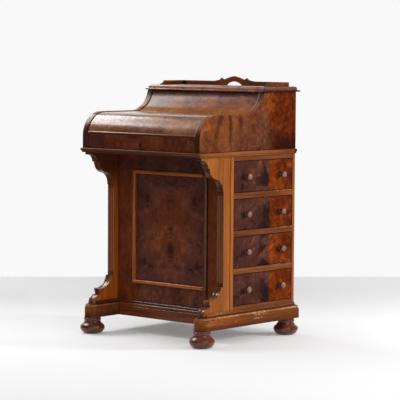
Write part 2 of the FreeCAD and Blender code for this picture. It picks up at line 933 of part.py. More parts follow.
def rise_catch():
    """A small bolt through the partition, with its knob in the well, drawn back at rest."""
    rear = partition_back
    neck = partition_front - catch_neck
    start = Vector(catch_x, front_y + neck, catch_z)
    bolt = Part.makeCylinder(catch_radius, rear - neck, start, Vector(0, 1, 0))
    grip = Part.makeCylinder(catch_knob_radius, catch_knob_length, start, Vector(0, -1, 0))
    rims = edges_at(grip, v=neck) + edges_at(grip, v=neck - catch_knob_length)
    grip = grip.makeFillet(catch_knob_radius * 0.4, rims)
    return bolt.fuse(grip)


write("top_board", top_board())
write("gallery_back", gallery_back())
write("gallery_sides", *both_sides(gallery_side()))
write("stationery_case", *stationery_case())
write("stationery_dividers", *stationery_dividers())
write("rise_catch", rise_catch())


# Writing slide: fascia with its lock, tray and ratchet
keyhole_z = fascia_bottom + keyhole_height
lock_low = fascia_bottom + lock_foot


def keyhole(radius, half_slot, drop, v0, v1):
    top = Part.makeCylinder(radius, v1 - v0, Vector(0, front_y + v0, keyhole_z), Vector(0, 1, 0))
    return top.fuse(board(-half_slot, half_slot, v0, v1, keyhole_z - drop, keyhole_z)).removeSplitter()


def slide_fascia():
    face = board(-slide_half, slide_half, 0, fascia_board, fascia_bottom, fascia_top)
    pocket = board(-lock_half_width, lock_half_width, lock_wall, fascia_board, lock_low, fascia_top)
    rim = keyhole(keyhole_radius + escutcheon_rim, keyhole_slot / 2 + escutcheon_rim,
                  keyhole_drop + escutcheon_rim, 0, escutcheon_depth)
    hole = keyhole(keyhole_radius, keyhole_slot / 2, keyhole_drop, 0, lock_wall)
    return face.cut(pocket).cut(rim).cut(hole)


def escutcheon():
    rim = keyhole(keyhole_radius + escutcheon_rim, keyhole_slot / 2 + escutcheon_rim,
                  keyhole_drop + escutcheon_rim, -escutcheon_proud, escutcheon_depth)
    hole = keyhole(keyhole_radius, keyhole_slot / 2, keyhole_drop, -escutcheon_proud, escutcheon_depth)
    return rim.cut(hole)


lock_top = fascia_top - lock_fit


def lock_case():
    """A mortised lock with a slot for its bolt."""
    half = lock_half_width - lock_fit
    case = board(-half, half, lock_wall + lock_fit, fascia_board - lock_fit, lock_low + lock_fit, lock_top)
    slot_half = bolt_half_width + lock_fit
    slot = board(-slot_half, slot_half, bolt_front - lock_fit, bolt_back + lock_fit,
                 lock_top - bolt_length - lock_fit, lock_top)
    return case.cut(slot)


def lock_bolt():
    return board(-bolt_half_width, bolt_half_width, bolt_front, bolt_back, lock_top - bolt_length, lock_top)


tray_inside = slide_half - tray_board
tray_floor = fascia_bottom + tray_bottom_board
flap_half = tray_inside - flap_side_gap
flap_top = fascia_top - flap_top_drop
flap_low = flap_top - flap_board
flap_front = fascia_board + flap_front_gap
flap_back = flap_front + flap_length
pivot_v = flap_front + flap_pivot_setback
pivot_z = (flap_top + flap_low) / 2


def slide_tray():
    side = board(tray_inside, slide_half, fascia_board, tray_back,
                 fascia_bottom, fascia_bottom + tray_side_height)
    pin = rod(flap_pin_radius, tray_inside, tray_inside + flap_pin_grip, pivot_v, pivot_z)
    rest = board(tray_inside - flap_rest_width, tray_inside, flap_rest_front, flap_back,
                 tray_floor, flap_low - seat_gap)
    bottom = board(-tray_inside, tray_inside, fascia_board, tray_back, fascia_bottom, tray_floor)
    back = board(-tray_inside, tray_inside, tray_back - tray_board, tray_back,
                 tray_floor, fascia_bottom + tray_back_height)
    return both_sides(side.cut(pin)) + both_sides(rest) + [bottom, back]


prop_v = pivot_v + prop_setback
prop_z = flap_low - prop_gap - prop_thickness / 2
ratchet_back = prop_v + prop_length + prop_thickness
ratchet_front = ratchet_back - ratchet_length


def ratchet_strip():
    """A strip across the tray with sawn notches for the foot of the prop."""
    top = tray_floor + ratchet_thickness
    steps = [(ratchet_front, top)]
    pitch = ratchet_length / (ratchet_notches + 1)
    for i in range(ratchet_notches):
        v = ratchet_front + (i + 0.6) * pitch
        steps.append((v, top))
        steps.append((v, top - ratchet_notch))
        steps.append((v + pitch * 0.6, top))
    steps.append((ratchet_back, top))
    steps.append((ratchet_back, tray_floor))
    half = prop_half_width + prop_lug
    return across((ratchet_front, tray_floor), steps, -half, half)


write("slide_fascia", slide_fascia())
write("keyhole_escutcheon", escutcheon())
write("lid_lock", lock_case())
write("lock_bolt", lock_bolt())
write("slide_tray", *slide_tray())
write("ratchet_strip", ratchet_strip())


# Sloping flap with its leather, pivots and prop
leather_half = flap_half - leather_margin
leather_front = flap_front + leather_margin
leather_back = flap_back - leather_margin


def writing_flap():
    flap = board(-flap_half, flap_half, flap_front, flap_back, flap_low, flap_top)
    flap = flap.cut(board(-leather_half, leather_half, leather_front, leather_back,
                          flap_top - leather_depth, flap_top))
    bore = rod(flap_pin_radius + pin_play, flap_half - flap_pin_grip, flap_half, pivot_v, pivot_z)
    for hole in both_sides(bore):
        flap = flap.cut(hole)
    return flap


def flap_pivot():
    return rod(flap_pin_radius, flap_half - flap_pin_grip, tray_inside + flap_pin_grip, pivot_v, pivot_z)


lug_inside = prop_half_width + prop_lug_gap


def prop_lug_plate():
    half = prop_lug_length / 2
    lug = board(lug_inside, lug_inside + prop_lug, prop_v - half, prop_v + half,
                prop_z - prop_pin_radius * 2, flap_low)
    return lug.cut(rod(prop_pin_radius + pin_play, lug_inside, lug_inside + prop_lug, prop_v, prop_z))


def slope_prop():
    """A strut that folds flat under the flap, with its own cross pin."""
    half = prop_thickness / 2
    strut = across((prop_v, prop_z - half), [
        (prop_v - half, prop_z, prop_v, prop_z + half),
        (prop_v + prop_length, prop_z + half),
        (prop_v + prop_length, prop_z - half)], -prop_half_width, prop_half_width)
    return strut.fuse(rod(prop_pin_radius, -lug_inside - prop_lug, lug_inside + prop_lug, prop_v, prop_z))


write("writing_flap", writing_flap())
write("writing_leather", board(-leather_half, leather_half, leather_front, leather_back,
                               flap_top - leather_depth, flap_top + leather_proud))
write("flap_pivots", *both_sides(flap_pivot()))
write("prop_lugs", *both_sides(prop_lug_plate()))
write("slope_prop", slope_prop())
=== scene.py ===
# %% [markdown]
# # A walnut davenport desk
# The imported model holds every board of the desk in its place. This lesson gives those boards the look of the
# real thing: burr veneers, straight-grained walnut under French polish, soft arrises, carved brackets, aged
# brass and a tooled leather. Each step says what the piece is, how it could be made, and why this way.

# %% Load the desk
import math

import bmesh
import bpy
from mathutils import Matrix, Vector


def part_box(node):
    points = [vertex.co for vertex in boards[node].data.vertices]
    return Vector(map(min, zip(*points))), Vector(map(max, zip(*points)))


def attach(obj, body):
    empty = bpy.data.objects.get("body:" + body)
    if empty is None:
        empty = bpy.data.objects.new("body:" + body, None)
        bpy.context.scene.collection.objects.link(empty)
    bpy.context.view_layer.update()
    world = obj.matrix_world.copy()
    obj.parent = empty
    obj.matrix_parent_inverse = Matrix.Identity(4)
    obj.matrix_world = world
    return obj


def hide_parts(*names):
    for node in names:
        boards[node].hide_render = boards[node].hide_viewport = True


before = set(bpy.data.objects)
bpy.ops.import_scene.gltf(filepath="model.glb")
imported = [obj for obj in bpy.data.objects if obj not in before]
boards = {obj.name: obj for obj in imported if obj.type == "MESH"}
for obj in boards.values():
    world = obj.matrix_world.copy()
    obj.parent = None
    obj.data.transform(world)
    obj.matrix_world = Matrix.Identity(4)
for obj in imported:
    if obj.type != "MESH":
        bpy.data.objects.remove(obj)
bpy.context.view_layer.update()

# %% [markdown]
# ## The camera
# The desk was photographed from its front right corner and from far away, so its upright edges stay nearly
# parallel. A long lens gives the same drawing. The camera is aimed at the desk and then turned about its own
# axis, because the photograph leans by a third of a degree.

# %% Set up the camera
camera_spot = Vector((4.6091, -5.1843, 1.0136))
camera_aim = Vector((0.0, 0.0539, 0.45))
camera_lean = math.radians(0.357)
scene = bpy.context.scene


def add_object(name, data):
    made = bpy.data.objects.new(name, data)
    scene.collection.objects.link(made)
    return made


def aimed(spot, aim, lean=0.0):
    """The matrix of a camera or lamp that stands at a spot, looks at an aim and leans by an angle."""
    turn = (aim - spot).to_track_quat("-Z", "Y").to_matrix().to_4x4()
    return Matrix.Translation(spot) @ turn @ Matrix.Rotation(lean, 4, "Z")


camera = add_object("camera", bpy.data.cameras.new("camera"))
camera.data.lens, camera.data.sensor_width = 177.1, 36.0
camera.data.shift_x, camera.data.shift_y = 0.0005, 0.016
camera.matrix_world = aimed(camera_spot, camera_aim, camera_lean)
scene.camera = camera
scene.view_settings.view_transform = "Standard"
print("camera", round((camera_spot - camera_aim).length, 2), "m from the desk")

# %% [markdown]
# ## A small writer for node trees
# Materials, the room's light and the repeated fittings are node trees. Written call by call, the wiring
# would hide the idea, so one helper adds a node, fills its inputs with numbers, colours or other nodes'
# outputs, and hands back the output that the next node needs.

# %% Define the tree writer
class Recipe:
    """Adds nodes to a tree. A value is a number, a vector, a colour in thousandths or a node's output."""

    def __init__(self, tree):
        self.tree = tree

    def feed(self, socket, value):
        if isinstance(value, bpy.types.NodeSocket):
            self.tree.links.new(value, socket)
        elif socket.type == "RGBA":
            socket.default_value = (*(part / 1000 for part in value), 1.0)
        else:
            socket.default_value = value

    def node(self, kind, fill=None, **settings):
        made = self.tree.nodes.new(kind)
        for key, value in settings.items():
            setattr(made, key, value)
        for key, value in (fill or {}).items():
            self.feed(made.inputs[key], value)
        return made

    def make(self, *what, **settings):
        return self.node(*what, **settings).outputs[0]

    def group(self, tree, **fill):
        return self.node("ShaderNodeGroup", fill, node_tree=tree).outputs

    def math(self, operation, *values):
        return self.make("ShaderNodeMath", dict(enumerate(values)), operation=operation)

    def times(self, first, *others):
        for other in others:
            first = self.math("MULTIPLY", first, other)
        return first

    def minus(self, first, second):
        return self.math("SUBTRACT", first, second)

    def weigh(self, *pairs):
        """The sum of values, each times its weight."""
        total = 0.0
        for value, weight in pairs:
            total = self.math("MULTIPLY_ADD", value, weight, total)
        return total

    def far(self, value, middle=0.0):
        """How far a value is from a middle."""
        return self.math("ABSOLUTE", self.minus(value, middle))

    def above(self, value, limit):
        return self.math("GREATER_THAN", value, limit)

    def below(self, value, limit):
        return self.math("LESS_THAN", value, limit)

    def between(self, value, low, high):
        return self.times(self.above(value, low), self.below(value, high))

    def span(self, value, low, high, start=0.0, end=1.0):
        """Goes softly from start to end while the value goes from low to high."""
        fill = {"Value": value, "From Min": low, "From Max": high, "To Min": start, "To Max": end}
        return self.make("ShaderNodeMapRange", fill, interpolation_type="SMOOTHSTEP")

    def band(self, value, start, full, fading=None, end=None):
        """A mask that is 1 from full on. With fading and end it goes back to 0."""
        mask = self.span(value, start, full)
        return mask if end is None else self.times(mask, self.span(value, end, fading))

    def vector(self, operation, *values):
        made = self.node("ShaderNodeVectorMath", dict(enumerate(values)), operation=operation)
        return made.outputs["Value" if operation in ("DOT_PRODUCT", "LENGTH") else "Vector"]

    def parts(self, vector):
        return self.node("ShaderNodeSeparateXYZ", {0: vector}).outputs

    def whole(self, x, y, z):
        return self.make("ShaderNodeCombineXYZ", {0: x, 1: y, 2: z})

    def noise(self, vector, scale, detail=3.0, rough=0.5, output=0):
        fill = {"Vector": vector, "Scale": scale, "Detail": detail, "Roughness": rough}
        return self.node("ShaderNodeTexNoise", fill).outputs[output]

    def ripple(self, *noise):
        """Noise that swings round 0."""
        return self.minus(self.noise(*noise), 0.5)

    def stir(self, *noise):
        """A push in any direction, from the noise's three colours."""
        return self.vector("SUBTRACT", self.noise(*noise, output=1), (0.5, 0.5, 0.5))

    def mix(self, share, first, second):
        return self.node("ShaderNodeMix", {0: share, 6: first, 7: second}, data_type="RGBA").outputs[2]


print("tree writer ready")

# %% [markdown]
# ## The studio
# The desk stands on a pale floor before a white wall, which is one-sided, so that it is out of the way from
# behind. Polished fronts would mirror the white room as a haze. A photographer keeps that off with black
# flags and floor cloths beside the view: only reflections see them here.

# %% Build the floor, the wall and the flags
wall_foot = Vector((-1.118, 1.328, 0.0))
wall_along = Vector((0.7143, 0.6998, 0.0))
wall_out = Vector((0.6998, -0.7143, 0.0))
room_half, room_depth, wall_height, flag_height = 4.0, 5.2, 1.9, 1.6
flag_rise = Vector((0, 0, 0.01))


def new_mesh(name, points, faces=()):
    mesh = bpy.data.meshes.new(name)
    mesh.from_pydata(points, [], faces)
    return mesh


def stage_sheet(name, corners):
    sheet = add_object(name, new_mesh(name, corners, [tuple(range(len(corners)))]))
    return sheet


def upright_sheet(name, left, right, height):
    rise = Vector((0, 0, height))
    return stage_sheet(name, [left, right, right + rise, left + rise])


wall_left, wall_right = (wall_foot + wall_along * side for side in (-room_half, room_half))
to_front = wall_out * room_depth
floor = stage_sheet("floor", [wall_left, wall_left + to_front, wall_right + to_front, wall_right])
wall = upright_sheet("wall", wall_left, wall_right, wall_height)
flags = []
for side, left, right, gap in (("left", Vector((-2.1, -0.34, 0.0)), Vector((0.14, -2.3, 0.0)), 1.12),
                               ("right", Vector((0.13, 2.19, 0.0)), Vector((2.39, 0.21, 0.0)), 1.22)):
    inward = Vector((left.y - right.y, right.x - left.x, 0.0)).normalized()
    inward *= -gap if inward.dot(left) > 0 else gap
    flags.append(upright_sheet("flag_" + side, left + flag_rise, right + flag_rise, flag_height))
    flags.append(stage_sheet("cloth_" + side, [point + flag_rise * 0.4 for point in
                                               (left, right, right + inward, left + inward)]))
for flag in flags:
    flag.visible_camera = flag.visible_diffuse = flag.visible_shadow = flag.visible_transmission = False
wall.visible_shadow = wall.visible_diffuse = False
print("floor, wall and", len(flags), "flags")

# %% [markdown]
# ## The floor's paint
# The floor is white, with painted shade: greyer towards the wall and to the left, where less light falls.
# It also glows a little for the camera, which lightens its shadow. So white a floor would throw too much
# light up under the desk, so the shader asks which ray sees it: rays that show the background get the white,
# and bounced light comes from a greyer floor.

# %% Paint the floor
class Paint(Recipe):
    """The writer of a new material, with its shader and the place that its nodes read."""

    def __init__(self, name):
        self.material = bpy.data.materials.new(name)
        self.material.use_nodes = True
        super().__init__(self.material.node_tree)
        self.shader = self.tree.nodes["Principled BSDF"]
        self.place = self.node("ShaderNodeTexCoord").outputs["Object"]

    def set(self, fill):
        for key, value in fill.items():
            self.feed(self.shader.inputs[key], value)
        return self.material


def grey(level):
    return (level, level, level)


def seen_plainly(recipe):
    """1 for the rays that show the background: from the camera, in a polish and through glass."""
    path = recipe.node("ShaderNodeLightPath").outputs
    seen = recipe.math("MAXIMUM", path["Is Camera Ray"], path["Is Glossy Ray"])
    return recipe.math("MAXIMUM", seen, path["Is Transmission Ray"])


paint = Paint("floor_paint")
spot = paint.vector("SUBTRACT", paint.place, tuple(wall_foot))
from_wall = paint.vector("DOT_PRODUCT", spot, tuple(wall_out))
to_right = paint.vector("DOT_PRODUCT", spot, tuple(wall_along))
scuffs = paint.times(paint.noise(paint.place, 2.2, 4.0, 0.6), 0.03)
# Painted shade: greyer to the left and towards the wall.
white = paint.mix(paint.span(to_right, -0.2, 1.0), grey(450), grey(680))
white = paint.mix(paint.span(from_wall, 0.55, 2.0), white, grey(860))
white = paint.mix(scuffs, white, grey(500))
seen = seen_plainly(paint)
# The glow that the camera sees lightens the floor's shadow: painted light.
floor.data.materials.append(paint.set({
    "Base Color": paint.mix(seen, grey(400), white), "Emission Color": grey(1000),
    "Emission Strength": paint.times(seen, 0.19), "Roughness": 0.75, "Specular IOR Level": 0.1}))
print("floor painted")

# %% [markdown]
# ## The wall, the flags and the room's light
# A wall lit so evenly could be a lamp, so it is one: a sheet that glows and is clear from behind. The world
# is the rest of the room's light, brighter from above, and also the white that shows past the wall; the
# same question about the ray keeps the two apart.

# %% Paint the wall, the flags and the room
paint = Paint("wall_paint")
glow = paint.make("ShaderNodeEmission", {"Color": grey(945), "Strength": 1.0})
clear = paint.make("ShaderNodeBsdfTransparent")
behind = paint.node("ShaderNodeNewGeometry").outputs["Backfacing"]
sided = paint.make("ShaderNodeMixShader", {0: behind, 1: glow, 2: clear})
paint.feed(paint.tree.nodes["Material Output"].inputs["Surface"], sided)
paint.tree.nodes.remove(paint.shader)
wall.data.materials.append(paint.material)

flag_cloth = Paint("flag_cloth").set({"Base Color": grey(10), "Roughness": 1.0})
for flag in flags:
    flag.data.materials.append(flag_cloth)

room = bpy.data.worlds.new("white_room")
room.use_nodes = True
recipe = Recipe(room.node_tree)
skyward = recipe.parts(recipe.node("ShaderNodeTexCoord").outputs["Generated"])["Z"]
fill_light = recipe.mix(recipe.span(skyward, -0.1, 0.9), (160, 160, 165), (500, 500, 510))
backdrop = recipe.mix(recipe.span(skyward, 0.18, 0.42), grey(1000), grey(160))
recipe.feed(room.node_tree.nodes["Background"].inputs["Color"],
            recipe.mix(seen_plainly(recipe), fill_light, backdrop))
scene.world = room
print("studio painted")

# %% [markdown]
# ## The lamps
# A large lamp on the right lights the drawer side. A small one behind throws the knobs' shadows forward and
# is kept out of reflections, where it would be a hard spot. The third hangs over the left: the lid and the
# cove mirror it as a sheen that fades to the right.

# %% Hang the lamps
def hang_lamp(name, spot, aim, width, depth, watts):
    data = bpy.data.lights.new(name, "AREA")
    data.shape, data.size, data.size_y, data.energy = "RECTANGLE", width, depth, watts
    lamp = add_object(name, data)
    lamp.matrix_world = aimed(spot, aim)
    lamp.visible_camera = False
    return lamp


side_lamp = hang_lamp("side_lamp", Vector((2.7, -0.35, 1.75)), Vector((0.27, 0.05, 0.42)), 2.2, 1.6, 18)
back_lamp = hang_lamp("back_lamp", Vector((2.1, 1.75, 0.95)), Vector((0.27, 0.1, 0.40)), 0.45, 0.45, 48)
back_lamp.visible_glossy = False
over_lamp = hang_lamp("over_lamp", Vector((-2.13, -0.3, 2.26)), Vector((-2.08, -0.3, 0.0)), 1.8, 1.2, 62)
print("lamps:", *(f"{lamp.name} {lamp.data.energy:g} W" for lamp in (side_lamp, back_lamp, over_lamp)))

# %% [markdown]
# ## Straight grain
# Straight timber has long bands, fine fibres and short dark pores. A picture of wood would repeat, so noise
# is drawn out along the grain at three sizes. As a node group it serves every board, with its own scale and
# colours.

# %% Make the straight grain
origin = (0.0, 0.0, 0.0)


def new_tree(family, name, outputs, **inputs):
    """A node group. A value tells what its socket is: a number, three numbers or, for None, a mesh."""
    tree = bpy.data.node_groups.new(name, family + "NodeTree")
    kinds = {float: "Float", int: "Int", tuple: "Vector", type(None): "Geometry"}
    for side, sockets in (("INPUT", inputs), ("OUTPUT", outputs)):
        for label, value in sockets.items():
            kind = "NodeSocket" + kinds[type(value)]
            socket = tree.interface.new_socket(label, in_out=side, socket_type=kind)
            if value is not None:
                socket.default_value = value
    recipe = Recipe(tree)
    return tree, recipe, recipe.node("NodeGroupInput").outputs


# The grain runs along Z of the Vector input; Band is the usual width of a growth band, in metres.
straight_grain, recipe, given = new_tree("Shader", "straight_grain", {"Tone": 0.0, "Pores": 0.0},
                                         Vector=origin, Band=0.008, Wander=0.006)
drift = recipe.vector("MULTIPLY", recipe.stir(given["Vector"], 5.0, 2.0), given["Wander"])
bent = recipe.vector("ADD", given["Vector"], drift)
bands, fibres, streaks = (
    recipe.noise(recipe.vector("MULTIPLY", bent, (1.0, 1.0, drawn)), scale, detail, rough)
    for drawn, scale, detail, rough in ((0.05, recipe.math("DIVIDE", 1.0, given["Band"]), 4.0, 0.6),
                                        (0.03, 1300.0, 2.0, 0.5), (0.025, 620.0, 1.0, 0.5)))
recipe.node("NodeGroupOutput", {
    "Tone": recipe.span(recipe.weigh((bands, 0.78), (fibres, 0.22)), 0.34, 0.66),
    "Pores": recipe.span(streaks, 0.62, 0.72)})
print("straight grain ready")

# %% [markdown]
# ## Burr figure
# A burr grows round many buds: its veneer has swirling clouds, contour lines and clusters of dark eyes. One
# noise pushes another for the swirl, its contours are the lines, and the middles of Voronoi cells the eyes.

# %% Make the burr figure
burr_figure, recipe, given = new_tree("Shader", "burr_figure", {"Tone": 0.0, "Rings": 0.0, "Eyes": 0.0},
                                      Vector=origin, Scale=16.0, Swirl=1.4)
sized = recipe.vector("MULTIPLY", given["Vector"], given["Scale"])
push = recipe.vector("MULTIPLY", recipe.stir(sized, 0.6, 2.0), given["Swirl"])
curled = recipe.vector("ADD", sized, push)
clouds = recipe.noise(curled, 1.0, 6.0, 0.62)
turns = recipe.math("MULTIPLY_ADD", clouds, 46.0, recipe.noise(sized, 0.7, 1.0))
cells = recipe.node("ShaderNodeTexVoronoi", {"Vector": curled, "Scale": 2.7}).outputs["Distance"]
patches = recipe.span(recipe.noise(sized, 0.9, 2.0), 0.48, 0.62)
recipe.node("NodeGroupOutput", {
    "Tone": recipe.span(clouds, 0.33, 0.67),
    "Rings": recipe.math("MULTIPLY_ADD", recipe.math("SINE", turns), 0.5, 0.5),
    "Eyes": recipe.times(recipe.span(cells, 0.24, 0.06), patches)})
print("burr figure ready")

# %% [markdown]
# ## French polish
# Shellac is rubbed on by hand and is never quite even. Two sizes of noise vary how sharply it mirrors and
# give it a slight relief; one roughness for the whole desk would look like plastic.

# %% Make the polish
polish_film, recipe, given = new_tree("Shader", "polish_film", {"Roughness": 0.0, "Height": 0.0},
                                      Vector=origin, Base=0.3, Smears=0.08)
rubbing = recipe.ripple(given["Vector"], 11.0, 4.0, 0.6)
wiping = recipe.ripple(given["Vector"], 70.0, 3.0, 0.6)
uneven = recipe.weigh((rubbing, 2.0), (wiping, 1.0))
recipe.node("NodeGroupOutput", {
    "Roughness": recipe.math("MULTIPLY_ADD", uneven, given["Smears"], given["Base"]),
    "Height": recipe.weigh((rubbing, 1.0), (wiping, 0.4))})
print("polish ready")

# %% [markdown]
# ## Dirt and painted shade in the joints
# Old wax and dust stay where a duster can't reach, and shade falls in the same places. An Ambient Occlusion
# node measures how sheltered a point is and darkens it there, as dirt and painted shade at once, so every
# joint is found by itself instead of being painted along each.

# %% Make the dirt and painted shade in the joints
joint_dirt_and_shade, recipe, given = new_tree("Shader", "joint_dirt_and_shade", {"Dirt and shade": 0.0}, Vector=origin, Reach=0.006)
shelter = recipe.node("ShaderNodeAmbientOcclusion", {"Distance": given["Reach"]}, samples=4).outputs["AO"]
patchy = recipe.noise(given["Vector"], 45.0, 3.0, 0.6)
sheltered = recipe.span(recipe.math("MULTIPLY_ADD", patchy, 0.3, shelter), 1.02, 0.62)
recipe.node("NodeGroupOutput", {"Dirt and shade": sheltered})
print("grime ready")

# %% [markdown]
# ## Finishes
# A finish is the colour of the timber, the polish and the relief of the pores. The figure mixes the colour
# from three tones, because walnut never shows only two, and marks are laid over it where bands along the
# desk's axes overlap. The desk's own coordinates let the figure run on over a joint.

# %% Define a finish
# A near-black brown, for dirt and for painted shade in joints, gaps and grooves.
dirt_and_shade_dark = (10, 4, 3)
finishes = {}


class Finish(Paint):
    """A finish under way, with its colour so far. A band is named by what it is measured along, such as z."""

    def __init__(self, name):
        super().__init__(name)
        self.x, self.y, self.z = self.parts(self.place)
        self.width = self.far(self.x)

    def tones(self, tone, dark, middle, light):
        low = self.mix(self.span(tone, 0.0, 0.5), dark, middle)
        return self.mix(self.span(tone, 0.5, 1.0), low, light)

    def lay(self, over, *masks, **bands):
        """Lays a colour over the finish where all the masks and bands overlap."""
        masks += tuple(self.band(getattr(self, along), *ends) for along, ends in bands.items())
        self.colour = self.mix(self.times(*masks), self.colour, over)

    def close(self, gloss, smears=0.08, coat=0.0, pores=None, relief=0.12, shine=0.25, dirt_and_shade=0.8):
        # Sheltered places are darkened: dirt and painted shade.
        if dirt_and_shade:
            self.lay(dirt_and_shade_dark, self.group(joint_dirt_and_shade, Vector=self.place)["Dirt and shade"], dirt_and_shade)
        film = self.group(polish_film, Vector=self.place, Base=gloss, Smears=smears)
        height = film["Height"]
        if pores is not None:
            height = self.math("MULTIPLY_ADD", pores, -0.6, height)
        bump = self.make("ShaderNodeBump", {"Strength": relief, "Distance": 0.002, "Height": height})
        self.set({"Base Color": self.colour, "Roughness": film["Roughness"], "Normal": bump,
                  "Specular IOR Level": shine, "Coat Weight": coat, "Coat Roughness": 0.16})
        finishes[self.material.name] = self.material
        print(self.material.name, "ready")


print("finishes can be closed")

# %% [markdown]
# ## The fascia's veneer
# Burr is sliced thin and glued on plainer wood. Two sizes of the figure lie over each other: clouds that
# are seen across the room and fleck that is seen close by. The fascia lies in the lid's shade, so its
# polish is dull, and its left end is painted darker as shade.

# %% Veneer the fascia
class Burr(Finish):
    """A finish with burr figure, broad and fine."""

    def __init__(self, name, scale, fine_scale, share=0.45, swirl=1.8, fit=None):
        super().__init__(name)
        self.leaf = fit(self) if fit else self.place
        self.broad = self.group(burr_figure, Vector=self.leaf, Scale=scale, Swirl=swirl)
        self.fine = self.group(burr_figure, Vector=self.leaf, Scale=fine_scale, Swirl=1.2)
        self.tone = self.weigh((self.broad["Tone"], 1.0 - share), (self.fine["Tone"], share))

    def mixed(self, *three):
        return self.tones(self.tone, *three)


wood = Burr("fascia_veneer", 18.0, 70.0)
dark = (80, 18, 6)
wood.colour = wood.mixed(dark, (200, 45, 14), (320, 84, 28))
for figure, share in (("Eyes", 0.7), ("Rings", 0.2)):
    wood.lay(dark, share, wood.broad[figure])
# Painted shade: the left end is darker.
wood.lay((70, 26, 20), 0.55, x=(-0.13, -0.20))
wood.close(0.30, 0.10, 0.05, wood.fine["Eyes"], 0.15, 0.2)

# %% [markdown]
# ## The top
# The top's front edge is rounded over and catches the light; that highlight is painted, so the edge is much
# paler than the flat behind it. Its right end is painted darker as shade. The board is one piece, so three
# mixes of the figure meet by height and depth, and no seam is cut into it.

# %% Polish the top
wood = Burr("top_veneer", 14.0, 60.0)
wood.colour = wood.mixed((130, 42, 22), (360, 125, 72), (500, 195, 115))
# Painted highlight: the upper part of the front edge is much paler.
wood.lay(wood.mixed((400, 165, 112), (740, 340, 238), (860, 460, 340)), z=(0.8630, 0.8700))
wood.lay(wood.mixed((120, 37, 14), (300, 98, 36), (440, 165, 64)), y=(0.078, 0.086))
right_end_painted_shade = (0.262, 0.276)
# Painted shade: the right end is darker, its lower tip darkest.
wood.lay((190, 66, 40), 0.85, x=right_end_painted_shade)
wood.lay(dirt_and_shade_dark, 0.85, x=right_end_painted_shade, z=(0.8672, 0.8660))
wood.close(0.26, 0.10, 0.6, wood.fine["Eyes"], 0.15, 0.5)

# %% [markdown]
# ## The lid
# A piano lid is built up of staves and veneered over the curve. Its crown is lighter, partly as painted light
# from above, and the right of its roll is warmer and brighter, partly as a painted sheen where the streak
# fades. The coat follows the height, since the pale streak along the roll lies where the coat is thick.

# %% Polish the lid
wood = Burr("lid_veneer", 13.0, 55.0)
wood.colour = wood.mixed((85, 24, 10), (310, 98, 34), (540, 200, 72))
warm_wood_and_painted_sheen = wood.mixed((130, 36, 8), (440, 130, 26), (700, 240, 50))
crown_with_painted_light = wood.mixed((150, 46, 14), (360, 120, 36), (520, 200, 64))
# Warmer and brighter on the right of the roll: the wood's colour and a painted sheen.
wood.lay(warm_wood_and_painted_sheen, x=(-0.02, 0.10), z=(0.738, 0.756))
# The crown is lighter, partly as painted light from above.
wood.lay(crown_with_painted_light, z=(0.762, 0.783))
for figure, share in (("Eyes", 0.7), ("Rings", 0.2)):
    wood.lay((48, 16, 9), share, wood.broad[figure])
coat = wood.math("ADD", wood.span(wood.z, 0.735, 0.760, 0.48, 0.38),
                 wood.span(wood.z, 0.766, 0.783, 0.0, 0.37))
wood.close(0.26, 0.16, coat, wood.fine["Tone"], 0.22, 0.5)

# %% [markdown]
# ## The cove
# The cove is a hollow moulding, golden at its foot and redder to the right; the dark band under the top is
# painted shadow. A hollow mirrors the lamp over a wide strip and would turn white, so its coat varies by
# height and side.

# %% Polish the cove
wood = Burr("cove_veneer", 15.0, 60.0)
to_the_right = wood.band(wood.x, -0.16, 0.02)
high = wood.mix(to_the_right, wood.mixed((76, 18, 9), (236, 63, 28), (360, 110, 50)),
                wood.mixed((105, 24, 11), (310, 82, 34), (460, 140, 60)))
wood.colour = wood.mixed((170, 50, 8), (370, 122, 21), (490, 186, 42))
wood.lay(high, z=(0.784, 0.822))
# Painted shadow under the top.
wood.lay((40, 8, 3), 0.85, z=(0.838, 0.850))
coat = wood.times(wood.span(wood.z, 0.792, 0.82), wood.span(wood.x, -0.16, 0.02, 0.31, 0.20))
wood.close(0.28, 0.10, coat, wood.fine["Eyes"], 0.15, 0.22)

# %% [markdown]
# ## The case sides
# Each side has two leaves that meet in a wavering seam, the rear one dark. Noise would put the dark flames
# and the golden patch anywhere, so they are laid by the place on the board, along lines that lean and sway.

# %% Veneer the case sides
wood = Burr("side_veneer", 17.0, 75.0, 0.32)
wood.sway = wood.weigh((wood.ripple(wood.place, 15.0), 0.028), (wood.y, 1.0))
close_tone = wood.weigh((wood.tone, 0.45), (wood.fine["Tone"], 0.55))
brown_leaf = wood.tones(close_tone, (42, 11, 6), (112, 33, 17), (200, 64, 31))
rear_leaf = wood.tones(close_tone, (55, 7, 1), (118, 16.5, 2), (190, 34, 3))
golden_leaf = wood.tones(close_tone, (95, 18, 2), (200, 46, 5), (300, 78, 8))
wood.colour = wood.mixed((95, 22, 7), (240, 65, 18), (390, 120, 30))
wood.lay(brown_leaf, 0.75, sway=(0.035, 0.085))
wood.lay(brown_leaf, 0.5, sway=(-0.09, -0.04))
wood.lay(rear_leaf, sway=(0.086, 0.120))
wood.lay(golden_leaf, 0.85, sway=(0.045, 0.085, 0.110, 0.175), z=(0.775, 0.812))
fading_down = wood.span(wood.z, 0.665, 0.72, 0.3, 1.0)
for start, lean, breadth, depth in ((-0.147, -0.34, 0.024, 0.8), (-0.110, 0.07, 0.016, 0.9),
                                    (-0.052, 0.03, 0.020, 0.45)):
    middle = wood.math("MULTIPLY_ADD", wood.minus(0.80, wood.z), lean, start)
    wood.across = wood.far(wood.sway, middle)
    wood.lay((60, 18, 10), depth, fading_down, across=(breadth, 0.0))
wood.lay(brown_leaf, 0.6, z=(0.755, 0.69), sway=(-0.22, -0.04, 0.07, 0.16))
wood.lay((26, 5, 2.5), 0.9, z=(0.745, 0.672), sway=(0.05, 0.17))
wood.lay((50, 12, 6), 0.5, wood.fine["Eyes"])
print("leaves of the case sides laid")
